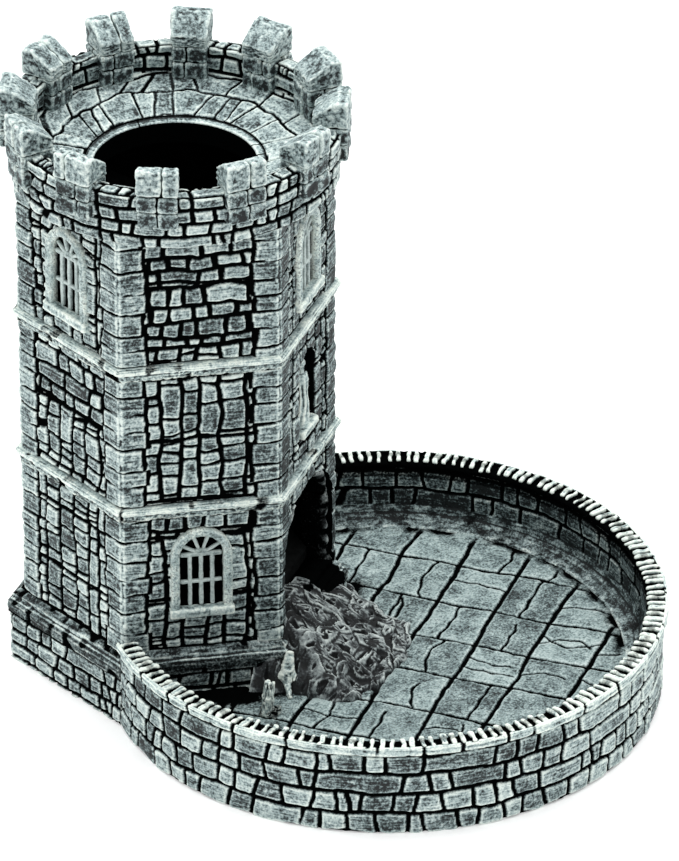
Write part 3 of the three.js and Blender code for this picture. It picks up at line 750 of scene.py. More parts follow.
def make_merlon(node, angle, seed):
    """Low courses of small dark stones under one or two big pale ones that slope down to the inside."""
    low, high = z_range(node)
    outer, inner, half = 51.15, 40.45, 5.75
    shelf = high - 8.6
    levels = [low, low + 0.5 * (shelf - low), shelf]
    parts = []

    def slope_top(p):
        limit = high - 0.15 - 4.9 * np.clip((outer - 3.2 - p[:, 0]) / (outer - 3.2 - inner), 0, 1) ** 1.15
        scale = (limit - shelf) / (high - shelf)
        p[:, 2] = np.where(p[:, 2] > shelf, shelf + (p[:, 2] - shelf) * scale, p[:, 2])
        return p

    for course in (0, 1):
        h = [float(hash01(course, n, seed, 5)) for n in range(12)]
        across = -half + 2 * half * (0.28 + 0.44 * h[0])
        deep = inner + (outer - inner) * (0.34 + 0.32 * h[1])
        z0, z1 = levels[course], levels[course + 1]
        for i, (y0, y1) in enumerate(((-half, across), (across, half))):
            for j, (x0, x1) in enumerate(((inner, deep), (deep, outer))):
                gap = 0.26
                grow = 0.4 * h[2 + 2 * i + j] - 0.35
                start = (x0 + (gap if j else -grow * 0.6), y0 + (gap if i else -grow),
                         z0 + (0.2 if course else 0))
                end = (x1 + (grow if j else -gap), y1 + (grow if i else -gap), z1 - 0.2)
                parts.append(rough_block(start, end, seed + 40 * course + 7 * i + j, 0.6, 0.3, 0.5,
                                         tone=0.9 * h[6 + 2 * i + j] - 1.5))
    h = [float(hash01(7, n, seed, 5)) for n in range(6)]
    split = -half + 2 * half * (0.3 + 0.4 * h[0])
    runs = [(-half, split - 0.25), (split + 0.25, half)] if h[1] < 0.55 else [(-half, half)]
    for i, (y0, y1) in enumerate(runs):
        block = rough_block((inner + 0.15, y0, shelf + 0.2), (outer, y1, high), seed + 90 + i, 0.7, 0.3, 0.45,
                            tone=0.5 * h[2 + i], bend=slope_top)
        parts.append(block)
    core = rough_block((inner + 0.9, -half + 0.9, low + 0.4), (outer - 0.9, half - 0.9, high - 6.4), seed,
                       0.2, 0, 3, wash=0.0)
    points, faces, attributes = join_parts(parts + [core])
    points[:, 1] *= 1 + 0.016 * (points[:, 0] - 46)
    return make_object(node + "_stone", turn(points, angle), faces, attributes)


# ------------------------------------------------------------------ windows, niche and exit

WINDOWS = {
    "lower_front": (-60, "wall_lower"),
    "lower_back": (60, "wall_lower"),
    "lower_rear": (180, "wall_lower"),
    "upper_exit": (0, "wall_upper"),
    "upper_front": (-120, "wall_upper"),
    "upper_back": (120, "wall_upper"),
}
FRAME_HALF = 9.2
OPENING_HALF = 6.5
NICHE_HALF = 6.6


def face_x(wall):
    """Distance of a wall's face from the tower's axis."""
    return corner_radius(wall) * APOTHEM


def window_cutter(name):
    angle, wall = WINDOWS[name]
    sill, top = z_range("window_frame_" + name)
    outline = arch(OPENING_HALF + 0.8, sill + 2.2, top - 2.2 - OPENING_HALF, top - 2.2)
    return wall_prism(angle, outline, face_x(wall) - 3.2, face_x(wall) + 5)


def make_window_frame(name, seed):
    angle, wall = WINDOWS[name]
    sill, top = z_range("window_frame_" + name)
    x = face_x(wall) - 0.35
    middle = (FRAME_HALF + OPENING_HALF) / 2
    spring = top - FRAME_HALF
    path = []
    straight = [(-middle, z) for z in np.arange(sill + 1.5, spring, 0.7)]
    bow = [(-middle * math.cos(a), spring + middle * math.sin(a)) for a in np.linspace(0, math.pi, 34)]
    line = straight + bow + [(-y, z) for y, z in reversed(straight)]
    for i, (y, z) in enumerate(line):
        y0, z0 = line[max(i - 1, 0)]
        y1, z1 = line[min(i + 1, len(line) - 1)]
        length = math.hypot(y1 - y0, z1 - z0)
        across = np.array([0, (z1 - z0) / length, -(y1 - y0) / length])
        path.append((np.array([x, y, z]), across, np.array([1.0, 0, 0])))
    w = (FRAME_HALF - OPENING_HALF) / 2
    section = [(-w, -1.4), (-w, 0.6), (-w + 0.25, 1.15), (-w + 0.8, 1.4), (0, 1.5), (w - 0.7, 1.35),
               (w - 0.2, 1.0), (w, 0.4), (w, -1.4)]
    band = tube(path, section, seed, 0.13, -0.9)
    slab = rough_block((x - 1.2, -9.8, sill + 0.1), (x + 2.1, 9.8, sill + 3.1), seed + 3, 0.6, 0.22, 0.6,
                       tone=0.2)
    points, faces, attributes = join_parts([band, slab])
    return make_object("window_frame_%s_stone" % name, turn(points, angle), faces, attributes)


def make_window_grille(name, seed):
    """Three upright bars, a crossbar and short rays in the arched head, over a dark back."""
    angle, wall = WINDOWS[name]
    sill, top = z_range("window_frame_" + name)
    x = face_x(wall) - 1.1
    spring = top - 3 - OPENING_HALF
    bottom = sill + 3
    bars = [((y - 0.62, y + 0.62), (bottom, spring + 0.6)) for y in (-3.35, 0, 3.35)]
    parts = [rough_block((x - 0.9, y[0], z[0]), (x + 0.45, y[1], z[1]), seed + i, 0.45, 0.1, 0.5, tone=0.1)
             for i, (y, z) in enumerate(bars)]
    middle = bottom + 0.47 * (spring - bottom)
    for z, half in ((middle, 0.6), (spring, 0.7)):
        parts.append(rough_block((x - 0.9, -6.3, z - half), (x + 0.35, 6.3, z + half), seed + 9, 0.45, 0.1,
                                 0.5, tone=0.1))
    for i, lean in enumerate((-60, -20, 20, 60)):
        ray = rough_block((x - 0.9, -0.5, 1.9), (x + 0.35, 0.5, OPENING_HALF + 0.1), seed + 20 + i, 0.4, 0.1,
                          0.5, tone=0.2)
        a = math.radians(lean)
        p = ray[0]
        y, z = p[:, 1].copy(), p[:, 2].copy()
        p[:, 1] = y * math.cos(a) - z * math.sin(a)
        p[:, 2] = spring + y * math.sin(a) + z * math.cos(a)
        parts.append(ray)
    hub = rough_block((x - 0.9, -1.9, spring - 0.2), (x + 0.3, 1.9, spring + 1.8), seed + 31, 0.8, 0.1, 0.4,
                      tone=0)
    points, faces, attributes = join_parts(parts + [hub])
    return make_object("window_grille_%s_bars" % name, turn(points, angle), faces, attributes)


def make_niche_statue(seed):
    """A plain hooded figure, worn smooth and without a face, on a rough ledge."""
    z0 = z_range("niche_statue")[0]
    x = face_x("wall_middle") - 2.3
    ledge = rough_block((x - 1.7, -6.4, z0 + 0.1), (x + 3.6, 6.4, z0 + 2.5), seed, 0.7, 0.3, 0.6, tone=0.3)
    under = rough_block((x - 1.7, -3.6, z0 - 0.2), (x + 3.0, 3.6, z0 + 1.2), seed + 2, 0.7, 0.3, 0.6, tone=0)
    rows = [(0.05, z0 + 2), (3.4, z0 + 2), (3.3, z0 + 4), (2.9, z0 + 8), (2.35, z0 + 13), (2.5, z0 + 15.5),
            (2.9, z0 + 17.3), (2.3, z0 + 18.8), (1.45, z0 + 19.7), (1.75, z0 + 21), (1.7, z0 + 22.4),
            (1.1, z0 + 23.6), (0.05, z0 + 24.2)]
    r = np.interp(np.linspace(0, 12, 60), np.arange(13), [a for a, _ in rows])
    z = np.interp(np.linspace(0, 12, 60), np.arange(13), [b for _, b in rows])
    a = np.linspace(0, 2 * math.pi, 40, endpoint=False)
    body = smooth(z, z0 + 19.6, z0 + 15)[:, None]
    folds = 0.28 * np.sin(7 * a + 2.2 * np.sin(z[:, None] / 4)) * body * smooth(z, z0 + 1, z0 + 6)[:, None]
    rr = r[:, None] * (1 + 0 * a) + folds
    px = x + 0.35 + rr * np.cos(a) * 0.62
    py = rr * np.sin(a)
    pz = np.broadcast_to(z[:, None], px.shape)
    points = np.stack([px, py, pz], -1).reshape(-1, 3)
    points = points + 0.16 * np.stack([fractal(*points.T, 1.8, seed + i, 2) for i in range(3)], 1)
    faces = [grid_faces(60, 40, False, True)]
    robe = (points, faces, {"wash": 0.9, "tone": 0.2})
    # Painted shadow: a black block where the face would be, standing in for the shade inside the hood.
    painted_hood_shadow = rough_block((x + 0.9, -0.75, z0 + 20.2), (x + 1.75, 0.75, z0 + 22.4), seed + 4, 0.6, 0.05, 0.4,
                       wash=0.0)
    points, faces, attributes = join_parts([ledge, under, robe, painted_hood_shadow])
    return make_object("niche_statue_stone", turn(points, 0), faces, attributes)


def make_exit_arch(seed):
    """The broken stone lining of the exit, swept round the arch as a rough rib."""
    low, high = z_range("exit_arch")
    half, spring, top = 20.2, 49.0, high - 1.2
    line = [(-half, z) for z in np.arange(low - 5, spring, 0.8)]
    turns = np.linspace(0, math.pi, 60)
    line += [(-half * math.cos(a), spring + (top - spring) * math.sin(a)) for a in turns]
    line += [(half, z) for z in np.arange(spring, low - 5, -0.8)]
    count = len(line)
    rib = []
    ring = np.linspace(0, 2 * math.pi, 26, endpoint=False)
    for i, (y, z) in enumerate(line):
        y0, z0 = line[max(i - 1, 0)]
        y1, z1 = line[min(i + 1, count - 1)]
        length = math.hypot(y1 - y0, z1 - z0)
        out = np.array([0, -(z1 - z0) / length, (y1 - y0) / length])
        # out points away from the opening on a path that runs up the left and down the right.
        for a in ring:
            deep, thick = 4.6 * math.cos(a), 1.5 * math.sin(a)
            deep = math.copysign(abs(deep) ** 0.75 * 4.6 ** 0.25, deep)
            rib.append(np.array([35.6 + deep, y, z]) + out * thick)
    points = np.array(rib)
    bulge = fractal(*points.T, 5.0, seed, 4)
    normal = points - np.repeat(np.array([[35.6, y, z] for y, z in line]), len(ring), axis=0)
    normal /= np.maximum(np.linalg.norm(normal, axis=1, keepdims=True), 1e-6)
    points = points + normal * (0.9 * bulge[:, None])
    points[:, 0] = np.minimum(points[:, 0], 41.6)
    crag = np.abs(fractal(*points.T, 3.2, seed + 9, 3))
    # Painted shade: the lining is dark on its side deep in the opening and pale only towards the outer rim.
    wash = 0.25 + 0.6 * smooth(points[:, 0], 36.5, 40.2) * (1 - smooth(crag, 0.05, 0.5))
    faces = [grid_faces(count, len(ring), False, True)[:, ::-1], np.arange(len(ring))[None, :],
             (np.arange(len(ring)) + (count - 1) * len(ring))[None, ::-1]]
    return make_object("exit_arch_stone", turn(points, 0), faces, {"wash": wash, "tone": -0.3 + 0 * wash})


# ------------------------------------------------------------------ tray

TRAY_ARC = 143.0
FLAG_X = [52.1, 70.2, 88.9, 106.8, 125.2]
FLAG_Y = [-65.0, -46.0, -26.5, -6.2, 12.4, 32.6, 54.2, 73.0]


def tower_cutters(clear=0.25):
    """What the tray leaves free: the plinth and everything behind its widest corners."""
    radius = corner_radius("plinth") + clear
    back = [(TOWER_X - 60, -90), (TOWER_X - 0.2, -90), (TOWER_X - 0.2, 90), (TOWER_X - 60, 90)]
    return [prism(hexagon(radius), -5, 60), prism(back, -5, 60)]


def tower_distance(x, y):
    """Distance outside the plinth's hexagon, with x from the tower's axis."""
    angles = np.radians(60.0 * np.arange(HEX))
    faces = [x * math.cos(a) + y * math.sin(a) for a in angles]
    return np.maximum.reduce(faces) - corner_radius("plinth") * APOTHEM


def make_tray_wall(seed):
    top = z_range("tray_wall")[1] + 0.2
    outer, inner = TRAY_R - 1.4, TRAY_R - 6.4
    profile = [(outer, 0, 0.5), (outer + 0.2, top, 0),
               (inner, top, 0.5), (inner - 0.1, 14.2, 0.5), (inner - 0.9, 12.0, 0.5),
               (inner - 2.9, 10.8, 0.5),
               (inner - 5.6, 10.1, 0.5), (inner - 6.4, 9.4, 0), (inner, 9.2, 0), (inner, 0, 0)]
    unit, angle = circle_path(outer, 0.5, -TRAY_ARC, TRAY_ARC)

    def relief(rows, section):
        shape = (len(rows), len(angle))
        s = np.broadcast_to(angle * outer, shape)
        z = np.broadcast_to(rows[:, 1:], shape)
        r = np.broadcast_to(rows[:, :1], shape)
        circumference = 2 * math.pi * outer
        height, wash, tone = (np.zeros(shape) for _ in range(3))
        low = section == 0
        h, w, t = round_relief(s[low], z[low] + 0.2, circumference, 7.8, 6.9, seed, wave=0.9, slant=0.5,
                               split=0.03, uneven=0.1, merge=0.1)
        height[low], tone[low] = h, t
        wash[low] = w * smooth(top - 0.2 - z[low], 0.1, 0.7)
        inside = section == 2
        h, w, t = round_relief(s[inside], z[inside] - 13.6, circumference, 8.6, 6.5, seed + 40, wave=0.8,
                               slant=0.5, joint=0.36, split=0.02)
        height[inside], wash[inside], tone[inside] = h * 0.9, 0.35 * w + 0.3 * w * (z[inside] < 24.5), t - 1.0
        fillet = (section > 2) & (section < 7)
        lumps = fractal(r[fillet] * np.cos(angle), r[fillet] * np.sin(angle), z[fillet], 4.0, seed + 50)
        height[fillet] = 0.3 * lumps
        wash[fillet] = 0.78 + 0.3 * lumps
        tone[fillet] = -0.5
        shade = tower_distance(r * unit[:, 0] + TRAY_X - TOWER_X, r * unit[:, 1])
        return height, np.clip(wash, 0, 1) * smooth(shade, 0.5, 1.3), tone

    obj = sweep("tray_wall_stone", profile, unit, relief, centre=TRAY_X, arc=True, flow=angle * outer)
    return cut(obj, tower_cutters())


def make_tray_coping(seed):
    """A bed faced with long pale stones, and narrow uneven slats lying across it."""
    low, high = z_range("tray_coping")
    low = low - 0.2
    profile = [(TRAY_R - 6.5, low, 0), (TRAY_R - 0.4, low, 0.35), (TRAY_R - 0.15, low + 0.5, 0.4),
               (TRAY_R - 0.1, high - 1.0, 0.3), (TRAY_R - 0.5, high - 0.5, 0.3),
               (TRAY_R - 1.2, high - 0.6, 0.4),
               (TRAY_R - 1.7, high - 1.7, 0.6), (TRAY_R - 6.4, high - 1.9, 0)]
    unit, angle = circle_path(TRAY_R, 0.5, -TRAY_ARC, TRAY_ARC)
    circumference = 2 * math.pi * TRAY_R

    def relief(rows, section):
        shape = (len(rows), len(angle))
        s = np.broadcast_to(angle * TRAY_R, shape)
        z = np.broadcast_to(rows[:, 1:], shape)
        x, y = TRAY_R * np.cos(angle) + 0 * z, TRAY_R * np.sin(angle) + 0 * z
        columns = int(round(circumference / 8.6))
        edge, block = coursed(s, z - low + 8, circumference / columns, 30, seed + 20, (x, y), columns=columns,
                              wave=0.0, slant=0.1, split=0.0, merge=0.3)
        h, w = stone_relief(edge, block, 0.42, 0.45, 0.6, 0.25)
        filled = smooth(noise(x, y, z, 6.0, seed + 3), 0.0, 0.5)
        h, w = h * (1 - filled), w + (1 - w) * filled
        rim = ((section > 0) & (section < 5))[:, None]
        crown = (section == 4)[:, None]
        notch = smooth(noise(x, y, 4 * z, 2.3, seed + 4), 0.4, 0.75) * crown
        height = np.where(rim, h + streaky(s, z, seed + 21, 0.15) - 0.3 * notch, 0)
        wash = np.where(rim, w * (1 - 0.8 * notch), 0.0)
        shade = tower_distance(TRAY_R * np.cos(angle) + TRAY_X - TOWER_X, TRAY_R * np.sin(angle))
        return height, wash * smooth(shade, 0.4, 1.0), np.where(rim, 0.35 + 0.5 * (block - 0.5), -1.0)

    bed = sweep("tray_coping_bed", profile, unit, relief, centre=TRAY_X, arc=True, flow=angle * TRAY_R)
    cut(bed, tower_cutters())
    parts = []
    count = 172
    for i in range(count):
        degrees = -180 + 360 * i / count
        h = [float(hash01(i, n, 0, seed + 7)) for n in range(8)]
        if abs(degrees) > 141.5:
            continue
        half = 0.52 + 0.4 * h[0] * h[0]
        skew = 0.9 * (h[1] - 0.5)
        start = TRAY_R - 6.7 + 0.9 * h[2] * h[2]
        end = TRAY_R - 0.95 + 0.3 * h[3]
        crown = high - 0.6 * h[4] * h[4]

        def lean(p, skew=skew, start=start):
            p[:, 1] += skew * (p[:, 0] - start) / 6 + 0.3 * noise(p[:, 0], 0, 0, 2.2, i)
            p[:, 2] -= 0.35 * smooth(start + 1.4 - p[:, 0], 0, 1.4)
            return p

        slat = rough_block((start, -half, high - 2.4), (end, half, crown), seed + i, 0.42, 0.25, 0.45,
                           tone=0.1 + 0.6 * h[5], bend=lean)
        from_end = np.minimum(slat[0][:, 0] - start, end - slat[0][:, 0])
        worn = smooth(from_end, 0.7, 2.2) * smooth(h[7], 0.1, 0.8)
        low_side = smooth(crown - slat[0][:, 2], 0.5, 1.3)
        slat[2]["wash"] = (1 - 0.5 * worn) * (1 - low_side)
        turned = turn(slat[0], degrees + 360 / count * 0.22 * (h[6] - 0.5), TRAY_X)
        x = turned[:, 0] - TOWER_X
        if tower_distance(x, turned[:, 1]).min() < -1.5 or x.min() < -0.2:
            continue
        parts.append((turned, slat[1], slat[2]))
    points, faces, attributes = join_parts(parts)
    slats = make_object("tray_coping_slats", points, faces, attributes)
    return bed, slats


def crack(u, v, h):
    """Distance from a curved crack across a flagstone whose sides run 0 to 1."""
    swap = h[0] > 0.5
    a, b = np.where(swap, v, u), np.where(swap, u, v)
    line = 0.3 + 0.4 * h[1] + (h[2] - 0.5) * 0.5 * np.sin(math.pi * a) + 0.012 * np.sin(17 * a + 9 * h[1])
    stop = np.maximum(a - (0.55 + 0.6 * h[3]), 0)
    return np.hypot(b - line, stop) * 19


def make_tray_floor(seed):
    top = z_range("tray_floor")[1]
    reach = TRAY_R - 7.2
    n = int(2 * reach / 0.45)
    axis = np.linspace(-reach, reach, n)
    y, x = np.meshgrid(axis, axis + TRAY_X, indexing="ij")
    wx = x - TOWER_X + 0.8 * noise(x, y, 0, 14, seed) + 0.25 * noise(x, y, 0, 3.5, seed + 1)
    wy = y + 0.8 * noise(x, y, 9, 14, seed + 2) + 0.25 * noise(x, y, 9, 3.5, seed + 3)
    lines_x, lines_y = np.array([33.8] + FLAG_X + [143.5]), np.array(FLAG_Y)
    i = np.clip(np.searchsorted(lines_x, wx) - 1, 0, len(lines_x) - 2)
    j = np.clip(np.searchsorted(lines_y, wy) - 1, 0, len(lines_y) - 2)
    u = (wx - lines_x[i]) / (lines_x[i + 1] - lines_x[i])
    v = (wy - lines_y[j]) / (lines_y[j + 1] - lines_y[j])
    ex = np.minimum(np.abs(wx - lines_x[i]), np.abs(wx - lines_x[i + 1]))
    ey = np.minimum(np.abs(wy - lines_y[j]), np.abs(wy - lines_y[j + 1])) + 0.12
    cracks = [[hash01(i, j, k + 10 * c, seed + 4) for k in range(5)] for c in range(2)]
    ec = np.minimum(*[crack(u, v, h) + np.where(h[4] < limit, 0, 9) + 0.25
                      for h, limit in zip(cracks, (0.75, 0.35))])
    edge = np.minimum(np.minimum(ex, ey), ec)
    tone = hash01(i, j, 77, seed) - 0.5
    radial = np.hypot(x - TRAY_X, y)
    border = smooth(radial, reach - 11, reach - 5)
    height, wash = stone_relief(edge + 0.15 * noise(x, y, 3, 2.0, seed + 5), 0.5 + 0 * x, 0.5, 0.55, 0.75, 0)
    tilt = (hash01(i, j, 5, seed) - 0.5) * (u - 0.5) + (hash01(i, j, 6, seed) - 0.5) * (v - 0.5)
    rough = 0.15 * fractal(x, y, 0, 1.7, seed + 6) + 0.14 * fractal(x, y, 0, 7.0, seed + 7)
    mottle = fractal(x, y, 0, 5.0, seed + 8)
    height = height * (1 - 0.75 * border) + rough + 0.5 * tilt + border * (0.3 * mottle - 0.2)
    wash = wash * (1 - border) + border * np.clip(0.5 + 0.6 * mottle, 0, 1)
    # Painted shade: the flagstones close to the plinth are made nearly black.
    painted_shade_nook = smooth(tower_distance(x - TOWER_X, y) + 4 * mottle, 13, 5) * smooth(x - TOWER_X, 52, 44)
    wash = wash * (1 - 0.9 * painted_shade_nook)
    z = top - 0.05 + height
    obj = make_slab("tray_floor_flags", np.stack([x, y, z], -1), 0, wash, tone, with_flow=True)
    circle = np.radians(np.arange(0, 360, 3))
    rim = np.stack([TRAY_X + reach * np.cos(circle), reach * np.sin(circle)], 1)
    cut(obj, [prism(rim, -5, 60)], "INTERSECT")
    return cut(obj, tower_cutters(0.1))


# ------------------------------------------------------------------ rubble


# The spill's edge on the floor and its depth along the wall, as (x or y, value) from the tower's axis.
SPILL_HIGH = [(36, 36), (42, 32.5), (49, 24.5), (58, 20.5), (67.5, 17.5), (71.5, 8), (72.5, -1), (73, -2)]
SPILL_LOW = [(36, -35), (46, -31), (57, -32.5), (66, -30), (71, -20), (72.5, -8), (73, -2)]
SPILL_CREST = [(-36, 6), (-30, 14), (-22, 18.5), (-5, 18), (8, 12.5), (20, 7), (28, 3.8), (36, 0.5)]


def make_rubble(seed):
    """Broken stone that spills from the arch: hollow plates between thin torn ridges."""
    ground = z_range("tray_floor")[1]
    x_axis = np.arange(34.5, 76, 0.33)
    y_axis = np.arange(-38, 40, 0.33)
    y, x = np.meshgrid(y_axis, x_axis, indexing="ij")
    bx = x + 1.6 * noise(x, y, 0, 6, seed) + 0.8 * noise(x, y, 0, 2.6, seed + 1)
    by = y + 1.6 * noise(x, y, 7, 6, seed) + 0.8 * noise(x, y, 7, 2.6, seed + 1)
    high = np.interp(bx, *np.array(SPILL_HIGH).T)
    low = np.interp(bx, *np.array(SPILL_LOW).T)
    margin = np.minimum(np.minimum(high - by, by - low), (73 - bx) * 1.4)
    forward = np.clip((bx - 38) / 35, 0, 1)
    crest = np.interp(by, *np.array(SPILL_CREST).T)
    base = crest * (1 - forward) ** 1.3 * smooth(margin, -1, 13) ** 0.8 + 1.3 * smooth(margin, 0, 2.5)
    wx = x + 1.7 * noise(x, y, 1, 8, seed + 2) + 0.9 * noise(x, y, 1, 3.2, seed + 3)
    wy = y + 1.7 * noise(x, y, 2, 8, seed + 4) + 0.9 * noise(x, y, 2, 3.2, seed + 5)
    large, plate = masonry(wy, -wx * (1 - 0.25 * (1 - forward)), 5.6, 6.6, seed + 6, jitter=(0.45, 0.45),
                           spread=0.45, power=2.0)
    small, chip = masonry(wy + 3, wx, 3.3, 3.5, seed + 8, jitter=(0.45, 0.42), spread=0.45, power=2.0)
    crowd = smooth(x + 0.5 * y + 6 * noise(x, y, 3, 9, seed + 10), 60, 72)
    edge = np.where(crowd > 0.5, small, large)
    piece = np.where(crowd > 0.5, chip, plate)
    ridge = 1 - smooth(edge, 0.12, 0.62)
    hollow = smooth(edge, 0.2, 1.9)
    tilt = (piece - 0.5) * np.sin(wy * 0.9 + 9 * piece) + (np.mod(piece * 7, 1) - 0.5) * np.sin(wx * 0.8)
    height = base + 0.5 * ridge - 0.85 * hollow + 1.5 * (piece - 0.5) + 0.8 * tilt
    height = height + 0.16 * fractal(x, y, 5, 1.5, seed + 9)
    inside = smooth(margin, -0.4, 0.5)
    z = ground - 1.0 + (height + 1.0) * inside
    z = np.where(margin < -0.3, ground - 2.5, z)
    z[[0, -1], :] = ground - 3
    z[:, [0, -1]] = ground - 3
    broken = smooth(noise(x, y, 6, 3.0, seed + 11), -0.5, 0.3)
    wash = 0.5 + 0.5 * ridge * (0.45 + 0.55 * broken) + 0.1 * (piece - 0.5)
    tone = 2.1 * ridge * broken - 1.5 + 0.8 * piece
    sheet = np.stack([x + TOWER_X, y, z], -1)
    return make_slab("rubble_spill", sheet, ground - 4, np.clip(wash, 0, 1), tone)


def boulder(centre, half, seed, tone=0.0, wash=0.8, rough=0.35, lean=(0, 0)):
    """An angular stone: a rounded block with strong low-frequency dents."""
    centre, half = np.array(centre, float), np.array(half, float)
    step = float(min(half)) / 4
    p, f, _ = rough_block(-half, half, seed, radius=float(min(half)) * 0.9, rough=0.0, step=step, tone=tone,
                          wash=wash)
    r = np.linalg.norm(p / half, axis=1)
    dent = fractal(*(p / half).T * 3.0, 2.0, seed, 3)
    p = p * (1 + rough * dent[:, None])
    p[:, 0] += lean[0] * p[:, 2]
    p[:, 1] += lean[1] * p[:, 2]
    values = np.clip(wash * (0.75 + 0.5 * dent) + 0 * r, 0, 1)
    return p + centre, f, {"wash": values, "tone": tone}


def make_standing_stone(seed):
    low, high = node_box("standing_stone")
    x, y = (low[0] + high[0]) / 2, (low[1] + high[1]) / 2
    ground = low[2]
    parts = [boulder((x, y, ground + 3.0), (1.7, 1.75, 3.9), seed, 0.5, 1.0, 0.3, (0.02, 0.02)),
             boulder((x + 0.2, y + 0.3, ground + 7.4), (1.45, 1.5, 3.5), seed + 7, 0.6, 1.0, 0.3,
                     (0.04, 0.06)),
             boulder((x + 0.4, y + 0.5, ground + 0.5), (2.6, 2.4, 1.2), seed + 1, -0.6, 0.5)]
    points, faces, attributes = join_parts(parts)
    return make_object("standing_stone_rock", points, faces, attributes)


def make_corner_rock(seed):
    """A root-like rock that runs from the plinth's corner beside the rubble down to the floor."""
    radius = corner_radius("plinth")
    ground = z_range("tray_floor")[1]
    x, y = TOWER_X + radius * APOTHEM, -radius / 2
    stem = [((x + 0.2, y - 0.4, 21.4), 1.2), ((x + 0.6, y - 1.6, 18.8), 1.5), ((x + 0.7, y - 2.4, 16.4), 1.9),
            ((x + 0.3, y - 3.2, 14.4), 2.2), ((x + 0.9, y - 4.6, 12.4), 1.3), ((x + 2.2, y - 6.4, 11.0), 0.9),
            ((x + 3.4, y - 8.6, ground + 0.3), 0.8)]
    branch = [((x + 0.9, y - 2.0, 16.5), 1.1), ((x + 2.6, y - 2.2, 14.2), 1.2),
              ((x + 3.8, y - 3.0, 12.0), 0.9), ((x + 4.8, y - 4.4, ground + 0.4), 0.7)]
    foot = [((x + 0.2, y - 2.8, 15.4), 1.2), ((x - 1.6, y - 3.4, 13.6), 1.1), ((x - 2.8, y - 4.0, 12.2), 0.8)]
    parts = [root(line, seed + 5 * i) for i, line in enumerate((stem, branch, foot))]
    points, faces, attributes = join_parts(parts)
    return make_object("corner_rock", points, faces, attributes)


def root(line, seed):
    """A knobbly limb along (point, radius) pairs."""
    steps = np.linspace(0, len(line) - 1, 8 * len(line))
    centres = np.stack([np.interp(steps, np.arange(len(line)), [p[i] for p, _ in line]) for i in range(3)], 1)
    radii = np.interp(steps, np.arange(len(line)), [r for _, r in line])
    radii[0] *= 0.4
    radii[-1] *= 0.3
    along = np.gradient(centres, axis=0)
    along /= np.linalg.norm(along, axis=1, keepdims=True)
    first = np.cross(along, (0.3, 1.0, 0.1))
    first /= np.linalg.norm(first, axis=1, keepdims=True)
    second = np.cross(along, first)
    a = np.linspace(0, 2 * math.pi, 16, endpoint=False)
    ring = np.cos(a)[None, :, None] * first[:, None, :] + np.sin(a)[None, :, None] * second[:, None, :]
    surface = centres[:, None, :] + ring * radii[:, None, None]
    p = surface.reshape(-1, 3)
    bumps = 1 + 0.4 * fractal(*p.T, 2.2, seed, 3).reshape(len(steps), 16)
    surface = centres[:, None, :] + ring * (radii[:, None] * bumps)[:, :, None]
    n = np.arange(16)
    faces = [grid_faces(len(steps), 16, False, True), n[None, ::-1], (n + (len(steps) - 1) * 16)[None, :]]
    return surface.reshape(-1, 3), faces, {"wash": np.clip(bumps.ravel() * 0.95, 0, 1), "tone": 0.4}


# ------------------------------------------------------------------ materials


def linear(rgb):
    values = [c / 255 for c in rgb]
    return [v / 12.92 if v <= 0.04045 else ((v + 0.055) / 1.055) ** 2.4 for v in values] + [1.0]


class Nodes:
    """A small helper that adds shader nodes and links them by name."""

    def __init__(self, name):
        self.material = bpy.data.materials.new(name)
        self.material.use_nodes = True
        self.tree = self.material.node_tree
        self.shader = self.tree.nodes["Principled BSDF"]

    def add(self, kind, **values):
        node = self.tree.nodes.new(kind)
        for key, value in values.items():
            setattr(node, key, value)
        return node

    def link(self, source, target):
        self.tree.links.new(source, target)

    def attribute(self, name, output="Fac"):
        return self.add("ShaderNodeAttribute", attribute_name=name).outputs[output]

    def math(self, operation, a, b=None, c=None, clamp=False):
        node = self.add("ShaderNodeMath", operation=operation, use_clamp=clamp)
        for socket, value in zip(node.inputs, (a, b, c)):
            if value is None:
                continue
            if isinstance(value, (int, float)):
                socket.default_value = value
            else:
                self.link(value, socket)
        return node.outputs[0]

    def noise(self, vector, scale, detail=2.0, roughness=0.55):
        node = self.add("ShaderNodeTexNoise")
        node.inputs["Scale"].default_value = scale
        node.inputs["Detail"].default_value = detail
        node.inputs["Roughness"].default_value = roughness
        self.link(vector, node.inputs["Vector"])
        return node.outputs["Fac"]

    def scaled(self, vector, scale):
        node = self.add("ShaderNodeMapping")
        node.inputs["Scale"].default_value = scale
        self.link(vector, node.inputs["Vector"])
        return node.outputs["Vector"]

    def ramp(self, value, stops):
        node = self.add("ShaderNodeValToRGB")
        elements = node.color_ramp.elements
        while len(elements) < len(stops):
            elements.new(0.5)
        for element, (position, colour) in zip(elements, stops):
            element.position = position
            element.color = colour
        self.link(value, node.inputs["Fac"])
        return node.outputs["Color"]

    def mix(self, factor, a, b):
        node = self.add("ShaderNodeMix", data_type="RGBA")
        self.link(factor, node.inputs[0])
        for socket, value in ((node.inputs[6], a), (node.inputs[7], b)):
            if isinstance(value, list):
                socket.default_value = value
            else:
                self.link(value, socket)
        return node.outputs[2]


